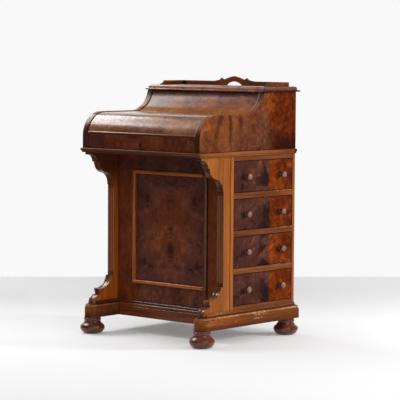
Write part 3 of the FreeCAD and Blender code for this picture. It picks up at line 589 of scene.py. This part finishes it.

# %% [markdown]
# ## The edges of the case sides
# The curved edges show plain wood, golden where the lid rests. The arris towards the lid has a painted
# highlight on the right and painted shade on the left. Face and edge are one solid, so the distance from
# the desk's middle tells them apart.

# %% Finish the edges of the case sides
side_face = wood.colour
edge_tone = wood.noise(wood.place, 60.0, 4.0, 0.6)
wood.colour = wood.tones(edge_tone, (36, 12, 7), (80, 26, 14), (140, 48, 26))
wood.lay(wood.tones(edge_tone, (150, 43, 8), (330, 98, 18), (460, 155, 34)), z=(0.715, 0.755))
wood.lay((50, 18, 14), 0.85, z=(0.816, 0.836))
wood.facing = wood.far(wood.parts(wood.node("ShaderNodeNewGeometry").outputs["Normal"])["X"])
wood.reach = wood.math("MULTIPLY_ADD", wood.below(wood.x, 0.0), -0.005, wood.width)
# Painted highlight on the right arris towards the lid, painted shade on the left one.
painted_arris_highlight_and_shade = wood.mix(wood.above(wood.x, 0.0), (18, 6, 4), (620, 440, 360))
wood.lay(painted_arris_highlight_and_shade, reach=(0.2545, 0.2530), facing=(0.95, 0.6), z=(0.70, 0.74))
wood.lay(side_face, width=(0.2736, 0.2744))
wood.close(0.28)

# %% [markdown]
# ## The drawer fronts
# Each front has a dark, feathered leaf and an orange one behind a seam. The four were cut from neighbouring
# leaves, so the figure is read from each drawer's middle and moved on a little from one to the next. The
# dark line round a front, dirt and painted shade of the gap, is measured from its edges.

# %% Veneer the drawer fronts
drawer_pitch, lowest_drawer, drawer_middle = 0.130, 0.1278, 0.0779
half_length, half_height = 0.158, 0.0542


def drawer_leaf(wood):
    """The place on a drawer front, from its own middle."""
    from_lowest = wood.minus(wood.z, lowest_drawer - 0.01)
    wood.row = wood.math("FLOOR", wood.math("DIVIDE", from_lowest, drawer_pitch))
    wood.level = wood.minus(wood.z, wood.math("MULTIPLY_ADD", wood.row, drawer_pitch, lowest_drawer + 0.055))
    return wood.whole(wood.times(wood.row, 0.7), wood.y, wood.level)


wood = Burr("drawer_veneer", 13.0, 64.0, 0.42, 2.4, drawer_leaf)
sway = wood.ripple(wood.leaf, 24.0)
wood.seam = wood.weigh((sway, 0.018), (wood.y, 1.0))
across = wood.weigh((wood.level, 0.78), (wood.y, -0.62), (sway, 0.075))
along = wood.weigh((wood.level, 0.62), (wood.y, 0.78))
feather = wood.whole(wood.times(wood.row, 0.31), wood.times(across, 66.0), wood.times(along, 10.0))
feather = wood.span(wood.noise(feather, 1.0, 4.0, 0.6), 0.28, 0.72)
wood.colour = wood.mixed((66, 10, 1.5), (208, 32, 3), (370, 80, 6))
wood.lay((75, 14, 4), 0.55, wood.span(wood.broad["Rings"], 0.45, 1.0))
wood.lay((30, 8, 4), 0.35, wood.broad["Eyes"])
wood.lay((55, 12, 5), 0.8, y=(0.175, 0.25), tone=(0.75, 0.3))
orange_leaf = wood.colour
dark_tone = wood.weigh((wood.tone, 0.58), (feather, 0.42))
wood.colour = wood.tones(dark_tone, (22, 8, 8), (86, 28, 20), (190, 64, 34))
wood.lay((18, 7, 8), 0.85, wood.span(wood.broad["Tone"], 0.75, 0.25), seam=(0.02, 0.09))
wood.lay(orange_leaf, seam=(0.108, 0.115))
wood.border = wood.math("MINIMUM", wood.minus(half_length, wood.far(wood.y, drawer_middle)),
                        wood.minus(half_height, wood.far(wood.level)))
# A dark line round each front: dirt and painted shade of the gap.
wood.lay(dirt_and_shade_dark, 0.85, border=(0.0030, 0.0008))
wood.close(0.29, shine=0.22)

# %% [markdown]
# ## The knee panel
# The panel is book-matched: two leaves are opened like a book, so its halves mirror each other, which
# reading the distance from the middle does. Its dark, ringed heart is drawn as rings round a point.

# %% Veneer the knee panel
def opened_leaf(wood):
    """The place on the panel, the same on both sides of the middle."""
    return wood.whole(wood.width, wood.y, wood.z)


def reach_from(wood, height, stretch, push=origin):
    """How far the place is from a point on the middle line."""
    apart = wood.vector("ADD", wood.vector("SUBTRACT", wood.leaf, (0.0, 0.0, height)), push)
    return wood.vector("LENGTH", wood.vector("MULTIPLY", apart, stretch))


wood = Burr("knee_burr", 15.0, 60.0, 0.42, 2.0, opened_leaf)
wood.outward = wood.weigh((wood.ripple(wood.leaf, 9.0), 1.1), (reach_from(wood, 0.38, (6.0, 0.0, 5.0)), 1.0))
wood.colour = wood.mixed((85, 19, 9), (240, 58, 22), (380, 108, 36))
wood.lay(wood.mixed((55, 18, 15), (150, 48, 34), (240, 80, 52)), outward=(0.35, 1.05))
wood.lay((35, 11, 9), 0.7, wood.broad["Eyes"])
wobble = wood.vector("MULTIPLY", wood.stir(wood.leaf, 28.0), (0.03, 0.0, 0.03))
wood.heart = reach_from(wood, 0.308, (1.0, 0.0, 0.55), wobble)
wood.rings = wood.math("SINE", wood.times(wood.heart, 900.0))
wood.lay((30, 10, 9), 0.6, rings=(-0.2, 0.9), heart=(0.048, 0.012))
wood.lay((30, 11, 10), 0.75, heart=(0.022, 0.005))
wood.close(0.28, coat=0.05)

# %% [markdown]
# ## The knee frame
# The frame has upright stiles and darker rails, which pass into each other near the corners. On the right,
# beside the moulding, a dark line is painted as the shadow of a quirk, the narrow groove that a moulding
# plane leaves. The top rail is painted darker and cooler, as shade under the case.

# %% Veneer the knee frame
wood = Burr("frame_veneer", 17.0, 64.0, 0.42, 2.0,
            lambda wood: wood.vector("MULTIPLY", wood.place, (1.0, 1.0, 0.7)))
wood.colour = wood.mixed((125, 27, 8), (215, 48, 13), (290, 74, 20))
wood.lay(wood.mixed((40, 11, 7), (150, 44, 24), (270, 86, 44)), width=(0.175, 0.125))
wood.lay((30, 9, 6), 0.6, wood.broad["Eyes"])
# Painted shade: the top rail is darker and cooler under the case.
wood.lay((70, 32, 32), 0.4, z=(0.578, 0.582))
# Painted shadow of a quirk beside the moulding, on the right.
wood.lay(dirt_and_shade_dark, 0.85, x=(0.1735, 0.1745, 0.1795, 0.1835))
wood.close(0.30)

# %% [markdown]
# ## Straight walnut
# Stiles, rails, mouldings and plinth are solid walnut with the grain along each board: a Mapping node turns
# the coordinates so that the board's length is the grain's Z. Round a corner, two turned coordinates meet
# as in a mitre.

# %% Define straight walnut
knee_middle, knee_half, case_corner = 0.378, 0.1895, 0.2705
grain_turns = {"x": (0.0, math.pi / 2, 0.0), "y": (math.pi / 2, 0.0, 0.0), "z": origin}


def grain_path(wood, along):
    """The grain's coordinates: along one axis, or round the knee panel or the case."""
    if along == "knee":
        turned, first, second = wood.above(wood.far(wood.z, knee_middle), knee_half), "z", "x"
    elif along == "case":
        turned, first, second = wood.above(wood.width, case_corner), "x", "y"
    else:
        return wood.make("ShaderNodeMapping", {"Vector": wood.place, "Rotation": grain_turns[along]})
    fill = {0: turned, 4: grain_path(wood, first), 5: grain_path(wood, second)}
    return wood.node("ShaderNodeMix", fill, data_type="VECTOR").outputs[1]


def walnut(name, along, tones, areas=(), gloss=0.36, band=0.008, coat=0.0, shine=0.25, dirt_and_shade=0.8, marks=None):
    """Walnut with its grain along a board. An area is (axis, low, high, tones), by the distance from the
    middle. A coat may be a function of the finish, and marks adds what only this board shows."""
    wood = Finish(name)
    path = grain_path(wood, along)
    grain = wood.group(straight_grain, Vector=path, Band=band, Wander=0.006)
    broad = wood.group(straight_grain, Vector=path, Band=band * 4.5, Wander=0.02)
    tone = wood.weigh((broad["Tone"], 0.4), (grain["Tone"], 0.6))
    wood.colour = wood.tones(tone, *tones)
    for axis, low, high, others in areas:
        wood.lay(wood.tones(tone, *others), wood.between(wood.far(getattr(wood, axis)), low, high))
    wood.lay(tones[0], 0.35, grain["Pores"])
    if marks:
        marks(wood)
    coat = coat(wood) if callable(coat) else coat
    wood.close(gloss, 0.07, coat, grain["Pores"], 0.12, shine, dirt_and_shade)


print("straight walnut defined")

# %% [markdown]
# ## Stiles and pilasters
# The stiles are golden, with painted shade in the groove beside the drawers and a painted shadow along the
# gap at the back. The pilasters' fronts are dark, darker wood and painted shade, with pale lands between
# the flutes, which a mask with the flutes' own pitch paints; their inner faces are painted bright for the
# light that reaches them. The brackets share this finish.

# %% Finish the stiles and the pilasters
golden = ((280, 70, 10), (460, 132, 22), (590, 195, 40))
rear_golden = ((190, 42, 7), (330, 85, 15), (460, 140, 30))
groove_painted_shade = ((55, 16, 6), (95, 28, 10), (140, 42, 15))
gap_painted_shadow = (dirt_and_shade_dark, (20, 7, 4), (35, 12, 7))
# Painted shade in the groove beside the drawers, painted shadow along the gap at the back.
walnut("stile_walnut", "z", golden, [
    ("y", 0.0968, 0.1013, groove_painted_shade), ("y", 0.2382, 0.26, rear_golden), ("y", 0.2360, 0.2382, gap_painted_shadow)])

tawny = ((240, 61, 10), (390, 116, 23), (510, 172, 42))
orange_brown_with_painted_light = ((440, 96, 9), (680, 160, 14), (840, 230, 26))
umber = ((70, 19, 7), (175, 50, 18), (290, 92, 34))
pilaster_face, pilaster_flank = 0.2722, 0.2456
first_flute, flute_pitch, flute_low, flute_high = 0.2509, 0.008, 0.214, 0.511


def post_marks(wood):
    """Pale lands between the flutes and a pale arris, painted shade on the flank under the case, and a worn,
    golden toe on the right.
    """
    front = wood.between(wood.width, pilaster_flank, pilaster_face)
    fluted = wood.between(wood.z, flute_low, flute_high)
    steps = wood.math("DIVIDE", wood.minus(wood.width, first_flute - flute_pitch / 2), flute_pitch)
    wood.off_flute = wood.far(wood.math("FRACT", steps), 0.5)
    wood.flakes = wood.noise(wood.place, 55.0, 3.0, 0.6)
    wood.lay((460, 170, 70), 0.9, front, fluted, off_flute=(0.28, 0.38))
    wood.lay((460, 225, 85), 0.75, front, wood.above(wood.x, 0.0), flakes=(0.44, 0.58),
             z=(0.140, 0.150, 0.166, 0.176))
    wood.lay((200, 62, 34), 0.7, front, z=(0.150, 0.140))
    wood.lay((520, 250, 100), 0.85, fluted, x=(-0.2482, -0.2474, -0.2448, -0.2440), y=(-0.1306, -0.1322))
    # Painted shade on the flank under the case.
    wood.lay((50, 16, 8), 0.8, wood.below(wood.width, pilaster_flank), z=(0.49, 0.60))


# The inner faces are painted bright for the light that reaches them; the fronts are darker wood and painted
# shade.
walnut("post_walnut", "z", tawny, [
    ("x", 0.0, pilaster_flank, orange_brown_with_painted_light), ("x", pilaster_flank, pilaster_face, umber)], 0.30,
    coat=lambda wood: wood.span(wood.z, 0.2145, 0.2125, 0.35, 0.7), marks=post_marks)

# %% [markdown]
# ## Worn edges, rails and plinth
# Where shoes and brooms knock an arris, the polish chips off down to the pale wood. Chips are noise close
# to a height, in some stretches only. Towards the back, plinth and moulding turn browner.

# %% Finish the rails, the base and the plinth
worn_wood, rear_brown = (620, 350, 160), (105, 34, 14)
toward_back = (-0.16, 0.02)


def worn_arris(wood, level, *masks, **bands):
    """Chips along an arris at a height, where the polish is off down to the pale wood."""
    wood.near = wood.far(wood.z, level)
    wood.chips = wood.noise(wood.place, 95.0, 3.0, 0.7)
    wood.stretch = wood.noise(wood.place, 14.0, 2.0)
    wood.lay(worn_wood, *masks, chips=(0.46, 0.55), stretch=(0.36, 0.52), near=(0.0042, 0.0012), **bands)


def rail_wear_and_painted_glints(wood):
    """Pale wear and painted glints on the drawer rails' upper edges towards the back."""
    for level in (0.2572, 0.3872, 0.5172):
        worn_arris(wood, level, 0.55, y=(0.10, 0.17))


def base_marks(wood):
    """A dark line along the foot of the base moulding and chips on its upper edge."""
    outer = (0.268, 0.272)
    wood.patches = wood.noise(wood.place, 10.0, 2.0)
    wood.lay(dirt_and_shade_dark, 0.75, z=(0.1078, 0.1055))
    wood.lay(rear_brown, 0.6, width=outer, y=toward_back)
    worn_arris(wood, 0.1142, width=outer, patches=(0.48, 0.6))


def plinth_marks(wood):
    """A lower edge that is darker towards the bottom, a dark line under the base moulding, and a painted
    highlight along the rounded arris, with chips.
    """
    outer, arris = (0.232, 0.236), 0.0985
    wood.patches = wood.noise(wood.place, 9.0, 2.0)
    wood.from_arris = wood.far(wood.z, arris)
    wood.lay((60, 20, 8), 0.7, z=(0.085, 0.058))
    wood.lay(dirt_and_shade_dark, 0.8, z=(0.1015, 0.1035))
    wood.lay(rear_brown, 0.6, width=outer, y=toward_back)
    # Painted highlight along the rounded arris.
    wood.lay((480, 195, 62), 0.6, width=outer, from_arris=(0.0036, 0.0012))
    worn_arris(wood, arris, width=outer)
    worn_arris(wood, 0.0925, width=outer, patches=(0.49, 0.58))
    worn_arris(wood, 0.0800, width=outer, patches=(0.56, 0.62))


russet = ((110, 29, 8), (205, 58, 18), (320, 105, 35))
amber = ((190, 53, 13), (300, 94, 26), (400, 145, 46))
red_brown = ((45, 12, 6), (125, 35, 17), (210, 65, 30))
plinth_tones = ((150, 35, 7), (320, 83, 17), (480, 148, 36))
rail_red = ((110, 27, 8), (250, 64, 20), (370, 112, 38))
walnut("rail_walnut", "y", russet, marks=rail_wear_and_painted_glints)
walnut("base_walnut", "case", amber, [("x", 0.0, case_corner, red_brown)], 0.28, shine=0.4,
       coat=lambda wood: wood.span(wood.width, 0.2725, case_corner, 0.0, 0.7), marks=base_marks)
walnut("plinth_walnut", "case", plinth_tones, [("x", 0.0, 0.2335, rail_red)], 0.29, shine=0.12,
       marks=plinth_marks)
walnut("plinth_rail_walnut", "x", rail_red, gloss=0.20, coat=0.2, shine=0.2)

# %% [markdown]
# ## Mouldings and the gallery
# Mouldings are planed in lengths and mitred. The right length of the knee moulding is painted browner as
# shade, and the waist moulding's dark end grain at the back is painted almost black as shade. The gallery is
# fretted from thin boards: its arch is lighter, its left corner joint has a painted shadow, and its finger
# hole is dark round the reveal.

# %% Finish the mouldings and the gallery
def waist_marks(wood):
    """Sides that darken towards the back, and dark end grain there with painted shade."""
    wood.lay((110, 26, 5), 0.7, y=(0.06, 0.23))
    # Painted shade on the dark end grain at the back.
    wood.lay(dirt_and_shade_dark, 0.9, y=(0.2390, 0.2440))


def gallery_marks(wood):
    """A lighter arch, a painted shadow in the left corner joint and a dark reveal round the finger hole."""
    wood.lay((330, 94, 22), 0.45, wood.above(wood.y, 0.234), width=(0.085, 0.050))
    # Painted shadow in the left corner joint.
    wood.lay(dirt_and_shade_dark, 0.85, x=(-0.222, -0.236), y=(0.224, 0.234))
    finger_hole = wood.times(wood.below(wood.width, 0.0375), wood.below(wood.z, 0.8925))
    wood.lay(dirt_and_shade_dark, 0.9, finger_hole, y=(0.2358, 0.2366, 0.2416, 0.2424))


honey = ((380, 97, 19), (580, 164, 38), (730, 240, 65))
bead_brown = ((110, 33, 12), (200, 64, 24), (310, 112, 45))
fret_red = ((80, 17, 4), (185, 43, 10), (300, 84, 17))
# The right length is painted browner as shade.
walnut("knee_bead_walnut", "knee", honey, gloss=0.26, shine=0.4,
       marks=lambda wood: wood.lay((170, 62, 26), 0.85, x=(0.150, 0.160)))
walnut("waist_walnut", "case", amber, [("x", 0.0, case_corner, umber)], 0.30, marks=waist_marks)
walnut("bead_walnut", "x", bead_brown, gloss=0.22, coat=0.3, shine=0.5)
walnut("gallery_walnut", "x", fret_red, shine=0.2, marks=gallery_marks)

# %% [markdown]
# ## Turned work, the back and the bare wood inside
# Feet and knobs are turned on a lathe; the knobs' faces are painted pale as a highlight. The back is dull,
# as it was never meant to be seen. Drawers and shelves are of a cheaper wood left bare, with its grain along
# each board.

# %% Finish the turned work, the back and the inside
foot_red = ((68, 13, 6), (178, 37, 15), (290, 70, 28))
knob_dark = ((30, 10, 6), (75, 24, 15), (140, 48, 30))
knob_painted_highlight = ((200, 85, 58), (380, 195, 145), (520, 300, 235))
bare_wood = ((280, 160, 70), (420, 260, 130), (520, 350, 190))


def floor_marks(wood):
    """The edge of the case floor that shows at the back, stained to match."""
    wood.lay((160, 52, 22), 0.92, y=(0.240, 0.246))


walnut("foot_walnut", "z", foot_red, gloss=0.27, coat=0.35, shine=0.45)
# The knobs' faces are painted pale: a painted highlight.
walnut("knob_walnut", "x", knob_dark, [("x", 0.2905, 0.30, knob_painted_highlight)], 0.22, coat=0.2, shine=0.5)
walnut("back_walnut", "z", red_brown, gloss=0.45)
for along in "xyz":
    walnut("drawer_wood_" + along, along, bare_wood, gloss=0.62, band=0.012, dirt_and_shade=0.3,
           marks=floor_marks if along == "y" else None)

# %% [markdown]
# ## Brass
# Old brass keeps its colour where it is touched and turns brown elsewhere, so noise chooses between the
# two. A metal has no colour of its own under the shine, which is what the Metallic input says.

# %% Cast the brass
metal = Finish("aged_brass")
tarnish = metal.span(metal.noise(metal.place, 90.0, 5.0, 0.65), 0.4, 0.7)
metal.colour = metal.mix(tarnish, (340, 210, 75), (110, 65, 28))
metal.set({"Metallic": 1.0})
metal.close(0.34, 0.14)

# %% [markdown]
# ## Soft arrises
# No edge on the real desk is a knife edge: a maker takes every arris off, and hands round it more. The
# boards' meshes are loose triangles, so a tree welds them and marks the hard edges, flat faces are joined,
# and a Bevel takes the arris off. Modifiers do all this, so the boards stay as they were imported.

# %% Define the soft arris
hard_angle, flat_angle = math.radians(32), math.radians(0.4)
weld_distance = 1e-5
a_mesh = {"Geometry": None}
weld_board, recipe, given = new_tree("Geometry", "weld_board", a_mesh, **a_mesh, Hard=hard_angle)
welded = recipe.make("GeometryNodeMergeByDistance", {0: given["Geometry"], "Distance": weld_distance})
hard = recipe.above(recipe.make("GeometryNodeInputMeshEdgeAngle"), given["Hard"])
shaded = recipe.make("GeometryNodeSetMeshNormal", {
    "Mesh": welded, "Remove Custom": True, "Edge Sharpness": hard, "Face Sharpness": False})
recipe.node("NodeGroupOutput", {0: shaded})


def soften(board, width):
    weld = board.modifiers.new("weld", "NODES")
    weld.node_group = weld_board
    join = board.modifiers.new("join_flats", "DECIMATE")
    join.decimate_type, join.angle_limit = "DISSOLVE", flat_angle
    arris = board.modifiers.new("soft_arris", "BEVEL")
    arris.width, arris.segments, arris.limit_method = width, 2, "ANGLE"
    arris.angle_limit, arris.harden_normals = hard_angle, True


print("arris tree ready")

# %% [markdown]
# ## Which board has which finish
# A maker lists the boards with their timber before cutting any. This list has the finish, how wide the
# arris is taken off, and the boards, with N for each drawer's number. Turned and moulded pieces are round
# already.

# %% Give every board its finish
plan = {
    "lid_veneer": (0.0006, "piano_lid hinge_rail"),
    "top_veneer": (0.0006, "top_board"),
    "cove_veneer": (0.0006, "cove_board"),
    "side_veneer": (0.0018, "case_side_left case_side_right"),
    "drawer_veneer": (0.0006, "dummy_drawer_fronts drawer_N_front"),
    "knee_burr": (0.0, "knee_panel"),
    "fascia_veneer": (0.0006, "slide_fascia writing_flap"),
    "stile_walnut": (0.0008, "pedestal_stiles"),
    "post_walnut": (0.0008, "pilasters"),
    "rail_walnut": (0.0005, "drawer_rails dummy_side_panel"),
    "frame_veneer": (0.0005, "knee_frame"),
    "knee_bead_walnut": (0.0, "knee_moulding"),
    "waist_walnut": (0.0006, "waist_moulding"),
    "base_walnut": (0.0, "base_moulding"),
    "bead_walnut": (0.0, "lid_bead"),
    "plinth_walnut": (0.0016, "plinth_arms"),
    "plinth_rail_walnut": (0.0016, "plinth_rails"),
    "gallery_walnut": (0.0010, "gallery_back gallery_sides"),
    "back_walnut": (0.0006, "case_back pedestal_back"),
    "foot_walnut": (0.0, "bun_feet"),
    "knob_walnut": (0.0, "dummy_drawer_knobs drawer_N_knobs"),
    "drawer_wood_x": (0.0005, "partition drawer_runners slide_tray ratchet_strip stationery_case slope_prop "
                              "drawer_N_box"),
    "drawer_wood_y": (0.0005, "case_floor slide_guides pedestal_floor"),
    "drawer_wood_z": (0.0005, "stationery_dividers"),
    "aged_brass": (0.0, "lid_hinge_fixed_leaves lid_hinge_moving_leaves keyhole_escutcheon flap_pivots "
                        "prop_lugs rise_catch lock_bolt lid_lock"),
}
dressed = set()
for finish, (arris_width, names) in plan.items():
    for name in names.split():
        for board in sorted({name.replace("N", number) for number in "1234"}):
            boards[board].data.materials[0] = finishes[finish]
            if arris_width:
                soften(boards[board], arris_width)
            dressed.add(board)
print(len(dressed), "boards dressed, to be replaced:", sorted(set(boards) - dressed))

# %% [markdown]
# ## Carved brackets
# The scroll brackets are sawn to their outline and carved: a rim stays along both edges, and the front
# between them is hollowed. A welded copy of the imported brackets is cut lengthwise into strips, and those
# between the rims are pushed in along the outline's own direction.

# %% Carve the brackets
hollow_strips = ((0.0, 0.0), (0.08, 0.55), (0.25, 0.87), (0.5, 1.0), (0.75, 0.87), (0.92, 0.55), (1.0, 0.0))
same_place, bracket_arris = 1e-4, 0.0009


def carve(node, fixed_level, rim=0.0048, depth=0.0019):
    """Hollows the front of a pair of brackets. The end at fixed_level is glued on and keeps its height."""
    shape = bmesh.new()
    shape.from_mesh(boards[node].data)
    bmesh.ops.remove_doubles(shape, verts=shape.verts, dist=weld_distance)
    bmesh.ops.dissolve_limit(shape, angle_limit=flat_angle, verts=shape.verts, edges=shape.edges)
    inner = min(abs(vert.co.x) for vert in shape.verts) + rim
    width = max(abs(vert.co.x) for vert in shape.verts) - rim - inner
    for share, _ in hollow_strips:
        for side in (-1, 1):
            bmesh.ops.bisect_plane(shape, geom=[*shape.verts, *shape.edges, *shape.faces], dist=1e-6,
                                   plane_co=(side * (inner + width * share), 0, 0), plane_no=(1, 0, 0))
    shape.normal_update()
    outward = {}
    for face in shape.faces:
        glued = abs(face.normal.z) > 0.9 and abs(face.calc_center_median().z - fixed_level) < same_place
        if abs(face.normal.x) < 0.5 and face.normal.y < 0.5 and not glued:
            for vert in face.verts:
                outward[vert] = outward.get(vert, Vector()) + face.normal
    for vert, direction in outward.items():
        share = (abs(vert.co.x) - inner) / width
        deep = max((deep for at, deep in hollow_strips if abs(at - share) < 1e-3), default=0.0)
        level = vert.co.z
        vert.co -= direction.normalized() * depth * deep
        if abs(level - fixed_level) < same_place:
            vert.co.z = level
    mesh = bpy.data.meshes.new("carved_" + node)
    shape.to_mesh(mesh)
    shape.free()
    mesh.materials.append(finishes["post_walnut"])
    piece = add_object("carved_" + node, mesh)
    soften(piece, bracket_arris)
    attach(piece, "carcass")
    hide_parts(node)
    return piece


for node, end in (("upper_brackets", 1), ("lower_brackets", 0)):
    piece = carve(node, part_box(node)[end][2])
    print(piece.name, len(piece.data.polygons), "faces")

# %% [markdown]
# ## Leather and gilt
# The flap is lined with calf. Voronoi cells give the creases of the skin, since a hide is a pattern of
# cells too. Gilt is leaf pressed on with a hot tool; it has rubbed off in patches, so noise mixes it with
# brown.

# %% Tan the leather and lay the gilt
hide = Finish("tooled_leather")
creases = hide.make("ShaderNodeTexVoronoi", {"Vector": hide.place, "Scale": 620.0},
                    feature="DISTANCE_TO_EDGE")
worn_patch = hide.span(hide.noise(hide.place, 14.0, 4.0, 0.6), 0.42, 0.66)
hide.colour = hide.mix(worn_patch, (105, 26, 15), (170, 60, 32))
hide.lay((35, 10, 7), 0.6, hide.span(creases, 0.10, 0.0))
hide.close(0.50, 0.10, pores=hide.span(creases, 0.15, 0.0), relief=0.25, dirt_and_shade=0.5)

leaf = Finish("rubbed_gilt")
rubbed_off = leaf.span(leaf.noise(leaf.place, 160.0, 4.0, 0.65), 0.48, 0.62)
leaf.colour = leaf.mix(rubbed_off, (620, 420, 140), (200, 90, 35))
leaf.set({"Metallic": 0.85})
leaf.close(0.36, 0.12, dirt_and_shade=0.0)

# %% [markdown]
# ## The writing leather
# The skin is set flush in the flap. It is never quite flat, so it is a fine grid with a soft edge and
# slight waves, closed by a lower grid and a rim. A plane with a bump would stay flat where the light grazes
# it.

# %% Lay the leather
leather_low, leather_high = (Vector(corner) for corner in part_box("writing_leather"))
leather_size = leather_high - leather_low


def leather_sheet(columns=84, rows=28, soft_edge=0.0025, edge_drop=0.0007, sag=0.00012):
    """A closed sheet: the upper grid, the lower grid and the rim between them."""
    points, faces = [], []
    for layer in (0, 1):
        for row in range(rows + 1):
            for column in range(columns + 1):
                x = leather_low.x + leather_size.x * column / columns
                y = leather_low.y + leather_size.y * row / rows
                rim = min(x - leather_low.x, leather_high.x - x, y - leather_low.y, leather_high.y - y)
                drop = edge_drop * max(0.0, 1 - rim / soft_edge) ** 2
                wave = sag * (1 + math.sin(37 * x + 3 * math.sin(29 * y)) * math.cos(51 * y + 11 * x)) / 2
                points.append((x, y, leather_high.z - drop - wave if layer == 0 else leather_low.z))
    span = columns + 1
    below = span * (rows + 1)
    for row in range(rows):
        for column in range(columns):
            a = row * span + column
            faces.append((a, a + 1, a + span + 1, a + span))
            faces.append(tuple(below + i for i in (a + span, a + span + 1, a + 1, a)))
    ring = [*range(span), *(row * span + columns for row in range(1, rows + 1)),
            *(rows * span + column for column in range(columns - 1, -1, -1)),
            *(row * span for row in range(rows - 1, 0, -1))]
    for a, b in zip(ring, ring[1:] + ring[:1]):
        faces.append((b, a, below + a, below + b))
    mesh = new_mesh("leather_skin", points, faces)
    mesh.shade_smooth()
    mesh.materials.append(finishes["tooled_leather"])
    return mesh


skin = add_object("leather_skin", leather_sheet())
print("leather", [round(1000 * side, 1) for side in leather_size], "mm")

# %% [markdown]
# ## Growing what repeats
# Tooling and screws are one small form many times over. Geometry Nodes place it on curves or points and can
# be given other sizes later. The result is kept as a plain mesh, since the desk's table of pieces lists
# meshes.

# %% Define how a tree is closed and grown
def close_tree(recipe, geometry, finish):
    whole = recipe.make("GeometryNodeRealizeInstances", {0: geometry})
    painted = recipe.make("GeometryNodeSetMaterial", {"Geometry": whole, "Material": finish})
    recipe.node("NodeGroupOutput", {0: painted})


def grow(name, tree, points=(), **values):
    """Runs a tree on loose points and keeps the result as a plain mesh."""
    mesh = new_mesh(name, points)
    piece = add_object(name, mesh)
    maker = piece.modifiers.new("maker", "NODES")
    maker.node_group = tree
    names = {item.name: item.identifier for item in tree.interface.items_tree if item.in_out == "INPUT"}
    for label, value in values.items():
        maker[names[label]] = value
    grown = bpy.data.meshes.new_from_object(piece.evaluated_get(bpy.context.evaluated_depsgraph_get()))
    piece.modifiers.remove(maker)
    piece.data = grown
    grown.name = name
    bpy.data.meshes.remove(mesh)
    return piece


print("trees can be grown")

# %% [markdown]
# ## The gilt border
# A bookbinder rolls two fine lines, the fillets, round the leather and stamps lozenges between them. Three
# rectangles give the path: a thin profile follows the outer and the inner one, and points at an even pitch
# on the middle one carry the stamps.

# %% Tool the border
tooling_tree, recipe, given = new_tree(
    "Geometry", "border_tooling", a_mesh, **a_mesh, Length=0.4, Width=0.1, Pitch=0.009, Stamp=0.0026,
    Line=0.0009, Raise=0.00012, Gap=0.009, Place=origin)


def rectangle(length, width):
    return recipe.make("GeometryNodeCurvePrimitiveQuadrilateral", {0: length, 1: width}, mode="RECTANGLE")


def border(inset):
    shrink = recipe.times(given["Gap"], 2.0 * inset)
    return rectangle(recipe.minus(given["Length"], shrink), recipe.minus(given["Width"], shrink))


thread = rectangle(given["Line"], given["Raise"])
fillets = [recipe.make("GeometryNodeCurveToMesh", {"Curve": border(inset), "Profile Curve": thread})
           for inset in (0.0, 1.0)]
run = recipe.make("GeometryNodeCurveToPoints", {"Curve": border(0.5), "Length": given["Pitch"]},
                  mode="LENGTH")
lozenge = recipe.make("GeometryNodeMeshCylinder", {
    "Vertices": 4, "Radius": given["Stamp"], "Depth": given["Raise"]})
stamps = recipe.make("GeometryNodeInstanceOnPoints", {
    "Points": run, "Instance": lozenge, "Scale": (1.0, 0.62, 1.0)})
joined = recipe.node("GeometryNodeJoinGeometry")
for part in (*fillets, stamps):
    recipe.feed(joined.inputs[0], part)
placed = recipe.make("GeometryNodeTransform", {"Geometry": joined.outputs[0], "Translation": given["Place"]})
close_tree(recipe, placed, finishes["rubbed_gilt"])

border_inset, leaf_lift = 0.008, 0.00001
middle = (leather_low + leather_high) / 2
tooling = grow("leather_tooling", tooling_tree, Place=(middle.x, middle.y, leather_high.z + leaf_lift),
               Length=leather_size.x - 2 * border_inset, Width=leather_size.y - 2 * border_inset)
for piece, slot in ((skin, "leather"), (tooling, "brass")):
    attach(piece, "flap")
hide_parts("writing_leather")
print("tooling", len(tooling.data.polygons), "faces")

# %% [markdown]
# ## Hinge screws
# Each leaf of the butt hinges is held by three countersunk screws. They are the same head again and again,
# so a tree places it on points and turns each slot by its own random amount, as a hand-driven screw stops
# where it bites.

# %% Drive the hinge screws
screw_tree, recipe, given = new_tree(
    "Geometry", "slotted_screws", a_mesh, **a_mesh, Head=0.0026, Proud=0.00012, Sunk=0.0005, Slot=0.0006,
    Facing=origin, Seed=3)


def raised(mesh, height):
    up = recipe.whole(0.0, 0.0, height)
    return recipe.make("GeometryNodeTransform", {"Geometry": mesh, "Translation": up})


head = recipe.make("GeometryNodeMeshCylinder", {
    "Vertices": 20, "Radius": given["Head"], "Depth": recipe.math("ADD", given["Proud"], given["Sunk"])})
head = raised(head, recipe.times(recipe.minus(given["Proud"], given["Sunk"]), 0.5))
blade_size = recipe.whole(recipe.times(given["Head"], 3.0), given["Slot"], given["Proud"])
blade = raised(recipe.make("GeometryNodeMeshCube", {"Size": blade_size}), given["Proud"])
slotted = recipe.make("GeometryNodeMeshBoolean", {"Mesh 1": head, "Mesh 2": blade}, operation="DIFFERENCE")
driven = recipe.make("GeometryNodeInstanceOnPoints", {
    "Points": given["Geometry"], "Instance": slotted, "Rotation": given["Facing"]})
stop = recipe.node("FunctionNodeRandomValue", {"Max": math.pi, "Seed": given["Seed"]}, data_type="FLOAT")
turned = recipe.make("GeometryNodeRotateInstances", {
    "Instances": driven, "Rotation": recipe.whole(0.0, 0.0, stop.outputs["Value"])})
close_tree(recipe, turned, finishes["aged_brass"])

screw_level, screw_steps = 0.7755, (0.133, 0.150, 0.167)
for name, body, leaf_face, turn in (("fixed_leaf_screws", "carcass", -0.0357, math.pi / 2),
                                    ("moving_leaf_screws", "lid", -0.0363, -math.pi / 2)):
    points = [(side * step, leaf_face, screw_level) for side in (-1, 1) for step in screw_steps]
    screws = grow(name, screw_tree, points, Facing=(turn, 0.0, 0.0))
    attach(screws, body)
    print(name, len(screws.data.polygons), "faces")

# %% [markdown]
# ## The end

# %% End
print("done")
